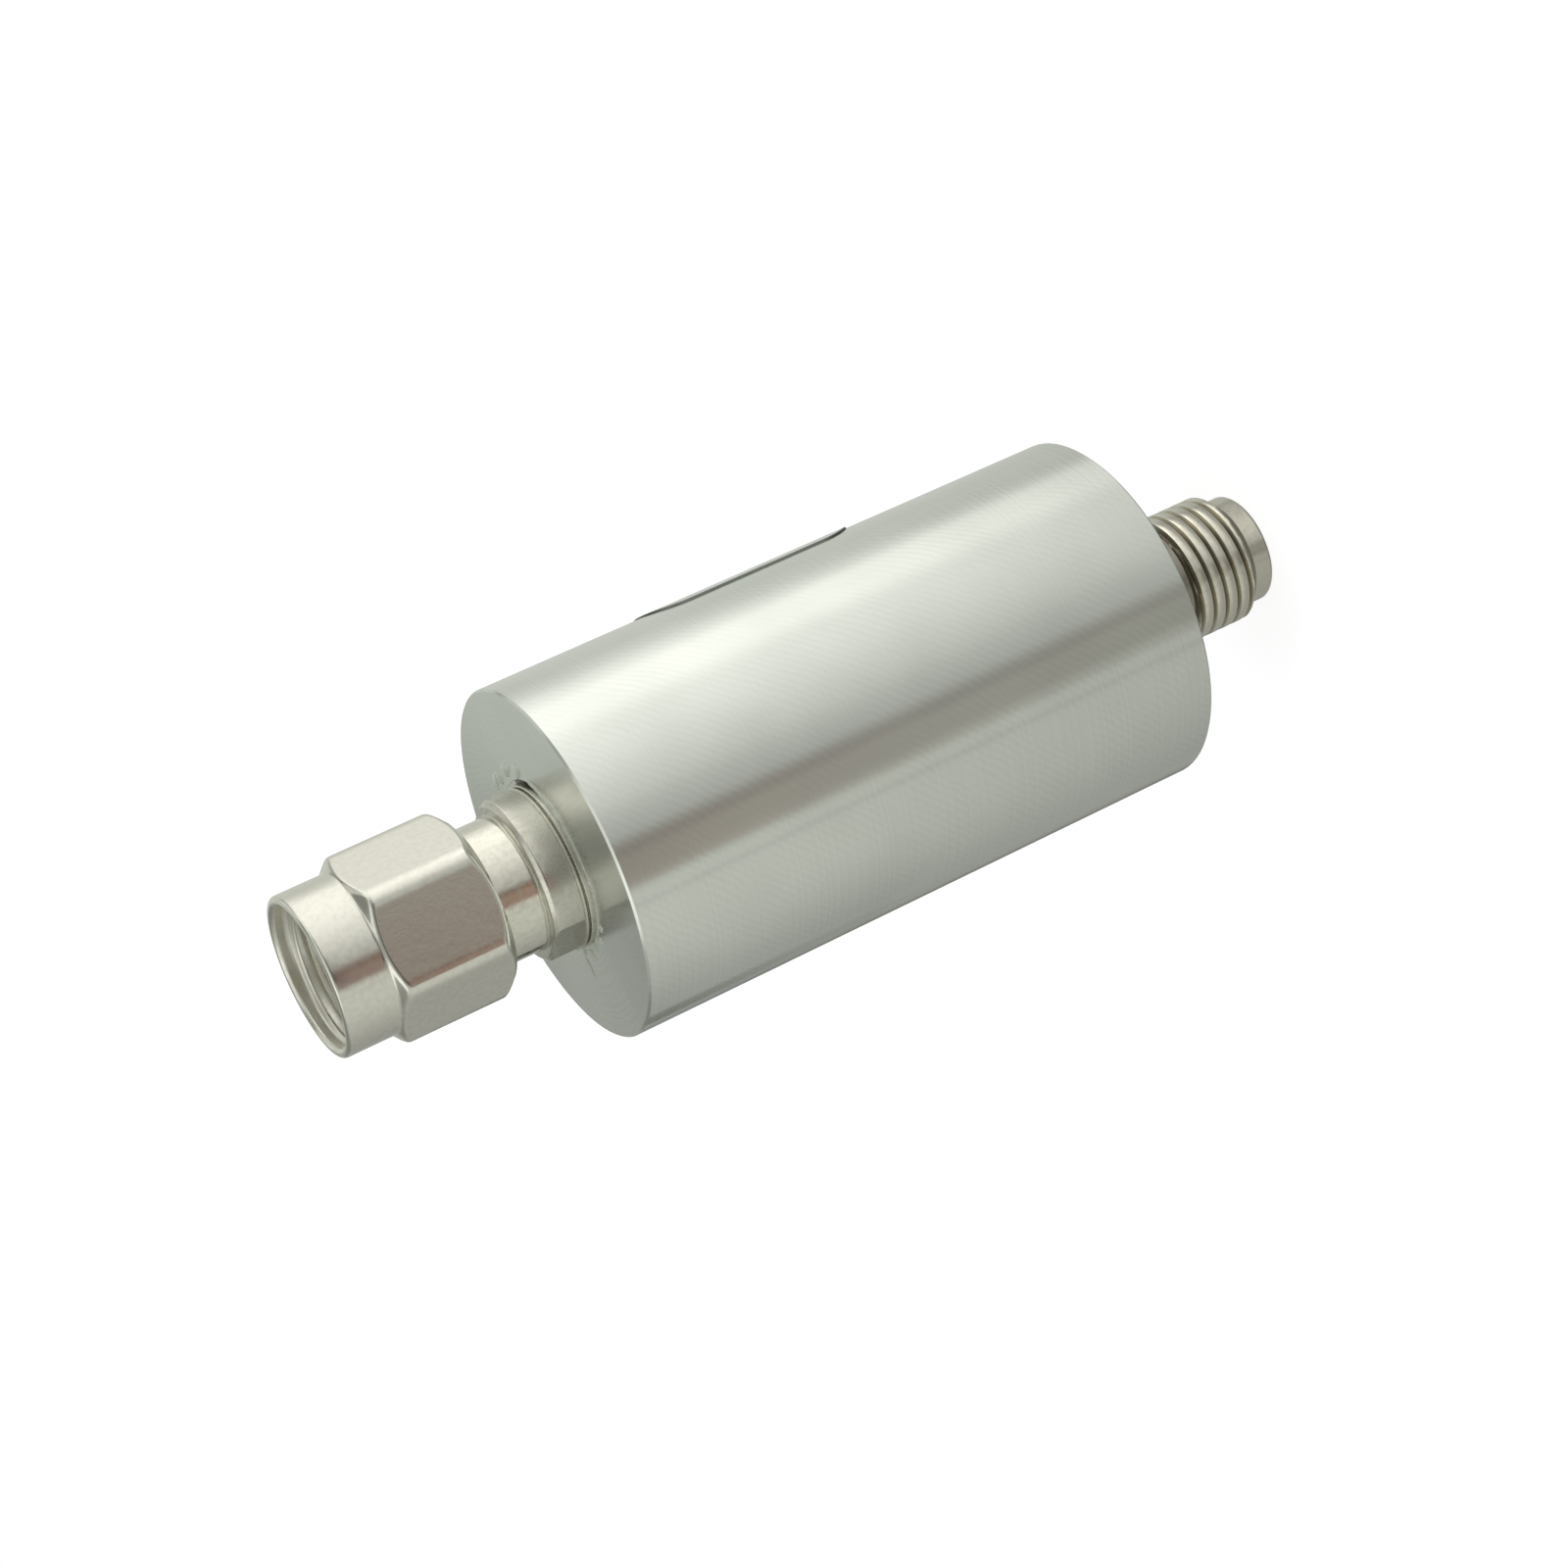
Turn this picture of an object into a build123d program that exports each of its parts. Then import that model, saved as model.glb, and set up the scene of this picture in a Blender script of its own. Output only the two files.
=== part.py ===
from build123d import *
import os
from math import radians, sin

# Fixed coaxial attenuator: a turned sleeve with a plug and its coupling nut at one end and a jack at
# the other. The axis is +Z. Height 0 is the jack's flat front face, which the part stands on, and the
# plug is at the top. Sizes are in millimetres, and angles are in degrees about +Z from +X.

# Sleeve
SLEEVE_DIA = 17.0
SLEEVE_LENGTH = 30.3
SLEEVE_RIM_CHAMFER = 0.1
CAVITY_DIA = 6.2

# Root of both connectors: threaded tail, flange seated in the sleeve, groove and collar
ROOT_THREAD_DIA = 7.0
ROOT_THREAD_PLAY = 0.02
TAIL_DEPTH = 5.0
TAIL_CHAMFER = 0.3
FLANGE_DIA = 7.9
FLANGE_SEAT_DEPTH = 0.6
FLANGE_PROUD = 0.25
FLANGE_PLAY = 0.22
GROOVE_DIA = 7.3
GROOVE_WIDTH = 0.1
COLLAR_DIA = 7.8
COLLAR_REACH = 2.0
COLLAR_CHAMFER = 0.09
WRENCH_FLAT_ACROSS = 7.0
WRENCH_FLAT_RIM = 0.18
WRENCH_FLAT_ANGLE = 18.0

# Coaxial line inside both connectors
LINE_BORE_DIA = 4.12
INSULATOR_PLAY = 0.01
CONTACT_DIA = 1.27
CONTACT_PLAY = 0.01

# Jack
JACK_REACH = 8.0
JACK_THREAD_DIA = 6.35
JACK_THREAD_LENGTH = 3.75
JACK_UNDERCUT = 0.33
JACK_PILOT_DIA = 5.33
JACK_PILOT_LENGTH = 1.0
JACK_MOUTH_DIA = 4.6
JACK_MOUTH_DEPTH = 1.95
JACK_MOUTH_CHAMFER = 0.1
SOCKET_BORE_DEPTH = 2.6
SOCKET_PLAY = 0.018
SOCKET_SLOT_WIDTH = 0.12
SOCKET_SLOT_DEPTH = 2.2

# Coupling nut
NUT_HEX_ACROSS = 7.94
NUT_CORNER_ROUND = 0.5
NUT_CORNER_ANGLE = -3.7
NUT_LENGTH = 8.3
NUT_STANDOFF = 2.0
NUT_TURNED_DIA = 9.02
NUT_REAR_FACE_DIA = 7.7
NUT_REAR_TAPER = 0.75
NUT_NOSE_DIA = 7.9
NUT_NOSE_LENGTH = 2.55
NUT_SHOULDER_TAPER = 0.6
NUT_LIP_CHAMFER = 0.2
NUT_MOUTH_DEPTH = 1.25
NUT_MOUTH_CHAMFER = 0.15
NUT_THREAD_PLAY = 0.025
NUT_THREAD_LENGTH = 3.45
NUT_RELIEF_DEPTH = 0.2
NUT_REAR_WALL = 1.2

# Neck of the plug, and the snap ring that holds the nut on it
NECK_DIA = 6.5
NECK_PLAY = 0.1
NECK_TIP_PLAY = 0.15
NECK_TIP_LENGTH = 0.8
RING_THICKNESS = 0.45
RING_END_PLAY = 0.15
RING_INSET = 0.3
RING_CATCH = 0.15
RING_RIM_PLAY = 0.15
RING_GROOVE_PLAY = 0.05
RING_GAP = 1.2

# Front of the plug: shroud, gasket and pin
SHROUD_PLAY = 0.015
GASKET_THICKNESS = 0.3
GASKET_SQUEEZE = 0.05
GASKET_SEAT_STEP = 0.19
GASKET_INSET = 0.1
GASKET_PLAY = 0.02
PIN_DIA = 0.914
PIN_REACH = 2.0
PIN_TAPER = 0.45
PIN_TIP_DIA = 0.4

# Resin plug that locks each centre contact in its connector
LOCK_DIA = 0.8
LOCK_DEPTH = 2.4
LOCK_WAIST_DEPTH = 0.235
LOCK_PLAY = 0.01

# Split carrier and the film card in it
CARRIER_PLAY = 0.04
CHANNEL_WIDTH = 3.2
CHANNEL_DEPTH = 1.3
WASHER_RISE = 0.35
WASHER_THICKNESS = 0.15
WASHER_BORE_DIA = 3.6
CARD_LENGTH = 12.0
CARD_EDGE_GRIP = 0.6
CARD_THICKNESS = 0.5
CARD_PLAY = 0.02
FILM_THICKNESS = 0.02
PAD_LENGTH = 2.4
PAD_WIDTH = 2.0
GROUND_STRIP_WIDTH = 0.75
JAW_OVERLAP = 1.0
JAW_PLAY = 0.01
SOLDER_LENGTH = 0.6
SOLDER_HEIGHT = 0.3
SOLDER_WIDTH = 0.9

# Sealant beads round the flanges, each open over a short arc
SEALANT_PLAY = 0.01
SEALANT_SWEEP = 300.0
SEALANT_ANGLE = 147.0

# Label on the sleeve
LABEL_LENGTH = 11.2
LABEL_SWEEP = 80.0
LABEL_ANGLE = 26.2
LABEL_CORNER = 2.0
LABEL_THICKNESS = 0.08
LABEL_FROM_PLUG_END = 8.6

# Diameters and widths that follow from the sizes above
nut_thread_dia = JACK_THREAD_DIA + 2 * NUT_THREAD_PLAY
nut_relief_dia = nut_thread_dia + 2 * NUT_RELIEF_DEPTH
neck_hole_dia = NECK_DIA + 2 * NECK_PLAY
neck_tip_dia = nut_thread_dia - 2 * NECK_TIP_PLAY
ring_inner_dia = NECK_DIA - 2 * RING_INSET
ring_outer_dia = neck_hole_dia + 2 * RING_CATCH
nut_groove_dia = ring_outer_dia + 2 * RING_RIM_PLAY
shroud_dia = JACK_MOUTH_DIA - 2 * SHROUD_PLAY
gasket_seat_dia = shroud_dia + 2 * GASKET_SEAT_STEP
socket_bore_dia = PIN_DIA + 2 * SOCKET_PLAY
lock_waist_dia = CONTACT_DIA - 2 * LOCK_WAIST_DEPTH
card_width = CHANNEL_WIDTH + 2 * CARD_EDGE_GRIP

# Heights along the axis that follow from the sizes above
jack_face = JACK_REACH
plug_face = JACK_REACH + SLEEVE_LENGTH
middle = (jack_face + plug_face) / 2
nut_rear = plug_face + COLLAR_REACH + NUT_STANDOFF
nut_mouth = nut_rear + NUT_LENGTH
nut_thread_top = nut_mouth - NUT_MOUTH_DEPTH
ring_low = nut_rear + NUT_REAR_WALL + RING_END_PLAY
ring_high = ring_low + RING_THICKNESS
neck_tip = ring_high + RING_GROOVE_PLAY + NECK_TIP_LENGTH
shroud_foot = neck_tip + GASKET_THICKNESS
plug_plane = shroud_foot + JACK_MOUTH_DEPTH - GASKET_SQUEEZE
pin_tip = plug_plane + PIN_REACH
jack_tail = jack_face + TAIL_DEPTH
plug_tail = plug_face - TAIL_DEPTH
card_low = middle - CARD_LENGTH / 2
card_high = middle + CARD_LENGTH / 2


def turned(corners):
    """A turned piece: a half section of (radius, height) corners spun about the axis."""
    with BuildPart() as piece:
        with BuildSketch(Plane.XZ):
            with BuildLine():
                Polyline(*corners, close=True)
            make_face()
        revolve(axis=Axis.Z)
    return piece.part


def block(size_x, size_y, low, high, x=0.0, y=0.0):
    """A plain block between two heights, centred on (x, y)."""
    return Pos(x, y, (low + high) / 2) * Box(size_x, size_y, high - low)


def tube(outer_dia, inner_dia, low, high):
    """A plain tube between two heights."""
    outer = outer_dia / 2
    inner = inner_dia / 2
    return turned([(inner, low), (outer, low), (outer, high), (inner, high)])


def rod(dia, low, high):
    """A plain cylinder between two heights."""
    return Pos(0, 0, (low + high) / 2) * Cylinder(dia / 2, high - low)


def radial_rod(dia, inner, outer, height):
    """A rod that lies along +X at a height, from one radius to another."""
    length = outer - inner
    return Pos((inner + outer) / 2, 0, height) * Rot(0, 90, 0) * Cylinder(dia / 2, length)


def save(name, shape):
    """Write one node. A piece is always stored as a plain group of its solids."""
    export_step(Compound(label=name, children=list(shape.solids())), f"parts/{name}.step")


def root_outline(face, outward):
    """Outside of a connector's root, from the end of its tail to the outer end of its collar."""
    tail = ROOT_THREAD_DIA / 2
    flange = FLANGE_DIA / 2
    groove = GROOVE_DIA / 2
    collar = COLLAR_DIA / 2
    collar_start = FLANGE_PROUD + GROOVE_WIDTH
    steps = [
        (tail - TAIL_CHAMFER, -TAIL_DEPTH),
        (tail, -TAIL_DEPTH + TAIL_CHAMFER),
        (tail, -FLANGE_SEAT_DEPTH),
        (flange, -FLANGE_SEAT_DEPTH),
        (flange, FLANGE_PROUD),
        (groove, FLANGE_PROUD),
        (groove, collar_start),
        (collar, collar_start),
        (collar, COLLAR_REACH - COLLAR_CHAMFER),
        (collar - COLLAR_CHAMFER, COLLAR_REACH),
    ]
    return [(radius, face + outward * height) for radius, height in steps]


def wrench_flat_cut(face, outward):
    """The metal milled off a collar for its two wrench flats, short of a rim at each end."""
    near = face + outward * (FLANGE_PROUD + GROOVE_WIDTH + WRENCH_FLAT_RIM)
    far = face + outward * (COLLAR_REACH - WRENCH_FLAT_RIM)
    offset = WRENCH_FLAT_ACROSS / 2 + COLLAR_DIA / 2
    cut = Part()
    for side in (-1, 1):
        cut += block(COLLAR_DIA, COLLAR_DIA, min(near, far), max(near, far), x=side * offset)
    return Rot(0, 0, WRENCH_FLAT_ANGLE) * cut


def lock_hole(face, outward):
    """The radial hole in a connector's tail that the contact lock is cast in."""
    return radial_rod(LOCK_DIA, 0, ROOT_THREAD_DIA, face - outward * LOCK_DEPTH)


def contact_waist(face, outward):
    """The groove in a centre contact that its lock grips, as a ring to take away."""
    height = face - outward * LOCK_DEPTH
    half = LOCK_DIA / 2 + LOCK_PLAY
    return tube(2 * CONTACT_DIA, lock_waist_dia, height - half, height + half)


def jaw_slot(card_end, outward):
    """The slot across a contact's inner end, which the film card slides into."""
    jaw_end = card_end - outward * JAW_OVERLAP
    bottom = card_end + outward * JAW_PLAY
    height = CARD_THICKNESS + 2 * (FILM_THICKNESS + JAW_PLAY)
    return block(2 * CONTACT_DIA, height, min(jaw_end, bottom), max(jaw_end, bottom))


def housing_sleeve():
    """Turned sleeve: bored through, tapped and counterbored alike at both ends."""
    shape = tube(SLEEVE_DIA, CAVITY_DIA, jack_face, plug_face)
    rims = shape.edges().filter_by(GeomType.CIRCLE).group_by(SortBy.RADIUS)[-1]
    shape = chamfer(rims, SLEEVE_RIM_CHAMFER)
    for face, outward in ((jack_face, -1), (plug_face, 1)):
        for dia, play, depth in (
            (ROOT_THREAD_DIA, ROOT_THREAD_PLAY, TAIL_DEPTH),
            (FLANGE_DIA, FLANGE_PLAY, FLANGE_SEAT_DEPTH),
        ):
            bottom = face - outward * depth
            shape -= rod(dia + 2 * play, min(bottom, face), max(bottom, face))
    return shape


def side_label():
    """Thin sticker wrapped on the sleeve, with rounded corners."""
    skin = tube(SLEEVE_DIA + 2 * LABEL_THICKNESS, SLEEVE_DIA, jack_face, plug_face)
    outer = SLEEVE_DIA / 2 + LABEL_THICKNESS
    width = 2 * outer * sin(radians(LABEL_SWEEP / 2))
    height = plug_face - LABEL_FROM_PLUG_END - LABEL_LENGTH / 2
    outline = Plane.YZ * RectangleRounded(width, LABEL_LENGTH, LABEL_CORNER)
    stamp = extrude(Pos(0, 0, height) * outline, 2 * outer)
    return Rot(0, 0, LABEL_ANGLE) * (skin & stamp)


def jack_body():
    """Turned jack: pilot, threaded barrel at its major diameter, undercut, and its root."""
    pilot = JACK_PILOT_DIA / 2
    barrel = JACK_THREAD_DIA / 2
    thread_end = JACK_PILOT_LENGTH + JACK_THREAD_LENGTH
    mouth = JACK_MOUTH_DIA / 2
    bore = LINE_BORE_DIA / 2
    lead = barrel - pilot
    corners = [
        (mouth, JACK_MOUTH_DEPTH),
        (mouth, JACK_MOUTH_CHAMFER),
        (mouth + JACK_MOUTH_CHAMFER, 0),
        (pilot - JACK_MOUTH_CHAMFER, 0),
        (pilot, JACK_MOUTH_CHAMFER),
        (pilot, JACK_PILOT_LENGTH),
        (barrel, JACK_PILOT_LENGTH + lead),
        (barrel, thread_end),
        (barrel - JACK_UNDERCUT, thread_end),
        (barrel - JACK_UNDERCUT, jack_face - COLLAR_REACH),
    ]
    corners += reversed(root_outline(jack_face, -1))
    corners += [(bore, jack_tail), (bore, JACK_MOUTH_DEPTH)]
    return turned(corners) - wrench_flat_cut(jack_face, -1) - lock_hole(jack_face, -1)


def plug_body():
    """Turned plug: tail, flange, collar, neck with the ring's groove, gasket seat and shroud."""
    bore = LINE_BORE_DIA / 2
    neck = NECK_DIA / 2
    groove = ring_inner_dia / 2 - RING_GROOVE_PLAY
    tip = neck_tip_dia / 2
    seat = gasket_seat_dia / 2
    shroud = shroud_dia / 2
    corners = root_outline(plug_face, 1)
    corners += [
        (neck, plug_face + COLLAR_REACH),
        (neck, ring_low - RING_GROOVE_PLAY),
        (groove, ring_low - RING_GROOVE_PLAY),
        (groove, ring_high + RING_GROOVE_PLAY),
        (tip, ring_high + RING_GROOVE_PLAY),
        (tip, neck_tip),
        (seat, neck_tip),
        (seat, shroud_foot),
        (shroud, shroud_foot),
        (shroud, plug_plane),
        (bore, plug_plane),
        (bore, plug_tail),
    ]
    return turned(corners) - wrench_flat_cut(plug_face, 1) - lock_hole(plug_face, 1)


def insulator(low, high, face, outward):
    """PTFE bead with a hole for the centre contact and a cross hole for its lock."""
    shape = tube(LINE_BORE_DIA - 2 * INSULATOR_PLAY, CONTACT_DIA + 2 * CONTACT_PLAY, low, high)
    return shape - lock_hole(face, outward)


def contact_lock(face, outward):
    """Resin plug cast through tail and insulator into the contact's waist."""
    inner = lock_waist_dia / 2 + LOCK_PLAY
    outer = ROOT_THREAD_DIA / 2 - TAIL_CHAMFER
    return radial_rod(LOCK_DIA - 2 * LOCK_PLAY, inner, outer, face - outward * LOCK_DEPTH)


def plug_centre_pin():
    """Turned pin: tapered tip, shoulder at the plug's plane, waist and slotted inner end."""
    shank = CONTACT_DIA / 2
    pin = PIN_DIA / 2
    shape = turned([
        (0, card_high - JAW_OVERLAP),
        (shank, card_high - JAW_OVERLAP),
        (shank, plug_plane),
        (pin, plug_plane),
        (pin, pin_tip - PIN_TAPER),
        (PIN_TIP_DIA / 2, pin_tip),
        (0, pin_tip),
    ])
    return shape - contact_waist(plug_face, 1) - jaw_slot(card_high, 1)


def jack_centre_socket():
    """Turned socket: drilled and slotted mouth at the jack's plane, waist and slotted inner end."""
    shank = CONTACT_DIA / 2
    bore = socket_bore_dia / 2
    bottom = JACK_MOUTH_DEPTH + SOCKET_BORE_DEPTH
    shape = turned([
        (bore, JACK_MOUTH_DEPTH),
        (shank, JACK_MOUTH_DEPTH),
        (shank, card_low + JAW_OVERLAP),
        (0, card_low + JAW_OVERLAP),
        (0, bottom),
        (bore, bottom),
    ])
    for turn in (0, 90):
        slot_top = JACK_MOUTH_DEPTH + SOCKET_SLOT_DEPTH
        slot = block(2 * CONTACT_DIA, SOCKET_SLOT_WIDTH, JACK_MOUTH_DEPTH, slot_top)
        shape -= Rot(0, 0, turn) * slot
    return shape - contact_waist(jack_face, -1) - jaw_slot(card_low, -1)


def coupling_nut():
    """Hexagon nut with a turned nose, its ends turned down, and a stepped bore."""
    turned_r = NUT_TURNED_DIA / 2
    nose = NUT_NOSE_DIA / 2
    shoulder = nut_mouth - NUT_NOSE_LENGTH
    outside = turned([
        (0, nut_rear),
        (NUT_REAR_FACE_DIA / 2, nut_rear),
        (turned_r, nut_rear + NUT_REAR_TAPER),
        (turned_r, shoulder - NUT_SHOULDER_TAPER),
        (nose, shoulder),
        (nose, nut_mouth - NUT_LIP_CHAMFER),
        (nose - NUT_LIP_CHAMFER, nut_mouth),
        (0, nut_mouth),
    ])
    with BuildPart() as hexagon:
        with BuildSketch(Plane.XY.offset(nut_rear)) as outline:
            RegularPolygon(NUT_HEX_ACROSS / 2, 6, major_radius=False)
            fillet(outline.vertices(), NUT_CORNER_ROUND)
        extrude(amount=shoulder - nut_rear)
    nose_zone = rod(NUT_TURNED_DIA, shoulder, nut_mouth)
    shape = outside & (Rot(0, 0, NUT_CORNER_ANGLE) * hexagon.part + nose_zone)
    thread_low = nut_thread_top - NUT_THREAD_LENGTH
    groove_low = nut_rear + NUT_REAR_WALL
    groove_high = ring_high + RING_END_PLAY
    neck_hole = neck_hole_dia / 2
    ring_groove = nut_groove_dia / 2
    relief = nut_relief_dia / 2
    thread = nut_thread_dia / 2
    bore = turned([
        (0, nut_rear),
        (neck_hole, nut_rear),
        (neck_hole, groove_low),
        (ring_groove, groove_low),
        (ring_groove, groove_high),
        (relief, groove_high),
        (relief, thread_low),
        (thread, thread_low),
        (thread, nut_thread_top),
        (relief, nut_thread_top),
        (relief, nut_mouth - NUT_MOUTH_CHAMFER),
        (relief + NUT_MOUTH_CHAMFER, nut_mouth),
        (0, nut_mouth),
    ])
    return shape - bore


def nut_snap_ring():
    """Split ring that sits in the neck's groove and reaches into the nut's groove."""
    ring = tube(ring_outer_dia, ring_inner_dia, ring_low, ring_high)
    return ring - block(ring_outer_dia, RING_GAP, ring_low, ring_high, x=-ring_outer_dia / 2)


def nut_gasket():
    """Soft ring on the neck's end, round the foot of the shroud."""
    outer_dia = neck_tip_dia - 2 * GASKET_INSET
    return tube(outer_dia, gasket_seat_dia + 2 * GASKET_PLAY, neck_tip, shroud_foot)


def flange_sealant(face, outward):
    """Bead of thread sealant in the gap between a flange and its seat in the sleeve."""
    low = face - outward * FLANGE_SEAT_DEPTH
    inner_dia = FLANGE_DIA + 2 * SEALANT_PLAY
    outer_dia = FLANGE_DIA + 2 * FLANGE_PLAY - 2 * SEALANT_PLAY
    bead = tube(outer_dia, inner_dia, min(low, face), max(low, face))
    wedge = Pos(0, 0, middle) * Cylinder(SLEEVE_DIA, 2 * plug_face, arc_size=SEALANT_SWEEP)
    return bead & (Rot(0, 0, SEALANT_ANGLE - SEALANT_SWEEP / 2) * wedge)


def carrier_half(side):
    """Half of the ground carrier: a half round bar with a channel and a step for the card."""
    low = jack_tail + WASHER_RISE + WASHER_THICKNESS
    bar = rod(CAVITY_DIA - 2 * CARRIER_PLAY, low, plug_tail)
    half = bar & block(2 * CAVITY_DIA, CAVITY_DIA, low, plug_tail, y=side * CAVITY_DIA / 2)
    channel = block(CHANNEL_WIDTH, 2 * CHANNEL_DEPTH, low, plug_tail)
    step_width = card_width + 2 * CARD_PLAY
    step_height = CARD_THICKNESS + 2 * FILM_THICKNESS
    step = block(step_width, step_height, card_low - CARD_PLAY, card_high + CARD_PLAY)
    return half - channel - step


def carrier_spring_washer():
    """Dished washer between the jack's tail and the carrier."""
    inner = WASHER_BORE_DIA / 2
    outer = CAVITY_DIA / 2 - CARRIER_PLAY
    low = jack_tail
    return turned([
        (outer, low),
        (outer, low + WASHER_THICKNESS),
        (inner, low + WASHER_RISE + WASHER_THICKNESS),
        (inner, low + WASHER_RISE),
    ])


def card_substrate():
    """Alumina card, edge-held between the carrier's halves."""
    return block(card_width, CARD_THICKNESS, card_low, card_high)


def printed(size_x, low, high, x=0.0):
    """One printed patch on the card's cover side."""
    return block(size_x, FILM_THICKNESS, low, high, x=x, y=(CARD_THICKNESS + FILM_THICKNESS) / 2)


def card_conductors():
    """Printed silver: a pad at each end and a ground strip along each edge of the film."""
    pads = printed(PAD_WIDTH, card_low, card_low + PAD_LENGTH)
    pads += printed(PAD_WIDTH, card_high - PAD_LENGTH, card_high)
    for side in (-1, 1):
        edge = side * (card_width - GROUND_STRIP_WIDTH) / 2
        pads += printed(GROUND_STRIP_WIDTH, card_low + PAD_LENGTH, card_high - PAD_LENGTH, x=edge)
    return pads


def resistor_film():
    """Printed resistive film between the pads and the ground strips."""
    width = card_width - 2 * GROUND_STRIP_WIDTH
    return printed(width, card_low + PAD_LENGTH, card_high - PAD_LENGTH)


def solder_joints():
    """A fillet of solder on each pad, against the end of the contact's upper jaw."""
    pad_top = CARD_THICKNESS / 2 + FILM_THICKNESS
    joints = Part()
    for card_end, inward in ((card_low, 1), (card_high, -1)):
        jaw_end = card_end + inward * JAW_OVERLAP
        with BuildPart() as joint:
            with BuildSketch(Plane.YZ.offset(-SOLDER_WIDTH / 2)):
                with BuildLine():
                    Polyline(
                        (pad_top, jaw_end),
                        (pad_top + SOLDER_HEIGHT, jaw_end),
                        (pad_top, jaw_end + inward * SOLDER_LENGTH),
                        close=True,
                    )
                make_face()
            extrude(amount=SOLDER_WIDTH)
        joints += joint.part
    return joints


os.makedirs("parts", exist_ok=True)
save("housing_sleeve", housing_sleeve())
save("side_label", side_label())
save("jack_body", jack_body())
save("jack_insulator", insulator(JACK_MOUTH_DEPTH, jack_tail, jack_face, -1))
save("jack_centre_socket", jack_centre_socket())
save("jack_contact_lock", contact_lock(jack_face, -1))
save("jack_sealant", flange_sealant(jack_face, -1))
save("plug_body", plug_body())
save("plug_insulator", insulator(plug_tail, plug_plane, plug_face, 1))
save("plug_centre_pin", plug_centre_pin())
save("plug_contact_lock", contact_lock(plug_face, 1))
save("plug_sealant", flange_sealant(plug_face, 1))
save("coupling_nut", coupling_nut())
save("nut_snap_ring", nut_snap_ring())
save("nut_gasket", nut_gasket())
save("carrier_base", carrier_half(-1))
save("carrier_cover", carrier_half(1))
save("carrier_spring_washer", carrier_spring_washer())
save("card_substrate", card_substrate())
save("card_conductors", card_conductors())
save("resistor_film", resistor_film())
save("solder_joints", solder_joints())
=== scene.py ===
import math
import random

import bmesh
import bpy
from mathutils import Matrix, Vector


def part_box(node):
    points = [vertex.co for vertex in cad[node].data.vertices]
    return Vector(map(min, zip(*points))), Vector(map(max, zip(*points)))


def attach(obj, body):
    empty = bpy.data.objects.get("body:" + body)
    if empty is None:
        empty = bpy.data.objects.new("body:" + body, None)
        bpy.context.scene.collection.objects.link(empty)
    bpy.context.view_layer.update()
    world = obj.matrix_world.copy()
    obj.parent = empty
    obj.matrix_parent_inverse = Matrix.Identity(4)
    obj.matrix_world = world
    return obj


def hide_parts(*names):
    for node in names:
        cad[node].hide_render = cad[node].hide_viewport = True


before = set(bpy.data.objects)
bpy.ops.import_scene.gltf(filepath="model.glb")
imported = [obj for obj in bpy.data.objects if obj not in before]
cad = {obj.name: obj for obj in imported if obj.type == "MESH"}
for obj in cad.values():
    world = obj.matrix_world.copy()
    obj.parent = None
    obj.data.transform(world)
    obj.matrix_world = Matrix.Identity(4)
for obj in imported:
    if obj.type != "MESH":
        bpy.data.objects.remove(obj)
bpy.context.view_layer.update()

# Photo view. The part stands on its jack in the model, and the camera is rolled, so that in the
# picture it lies with its plug to the lower left and its jack to the upper right.
MM = 0.001
EYE = Vector((-1.09, -158.93, 87.8)) * MM
PICTURE_RIGHT = Vector((-0.4218, -0.3258, -0.8461)).normalized()
PICTURE_UP = Vector((0.9067, -0.1516, -0.3936)).normalized()
LENS = 85.33


def place_in_scene(name, data):
    """A new object in the scene, for a camera, a lamp or a mesh."""
    thing = bpy.data.objects.new(name, data)
    bpy.context.scene.collection.objects.link(thing)
    return thing


photo_lens = bpy.data.cameras.new("photo_camera")
photo_lens.lens = LENS
photo_lens.sensor_width = 36
photo_lens.clip_start = 5 * MM
photo_camera = place_in_scene("photo_camera", photo_lens)
picture_back = PICTURE_RIGHT.cross(PICTURE_UP)
turn = Matrix((PICTURE_RIGHT, PICTURE_UP, picture_back)).transposed()
photo_camera.matrix_world = Matrix.Translation(EYE) @ turn.to_4x4()
bpy.context.scene.camera = photo_camera
bpy.context.scene.view_settings.view_transform = "Standard"


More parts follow.
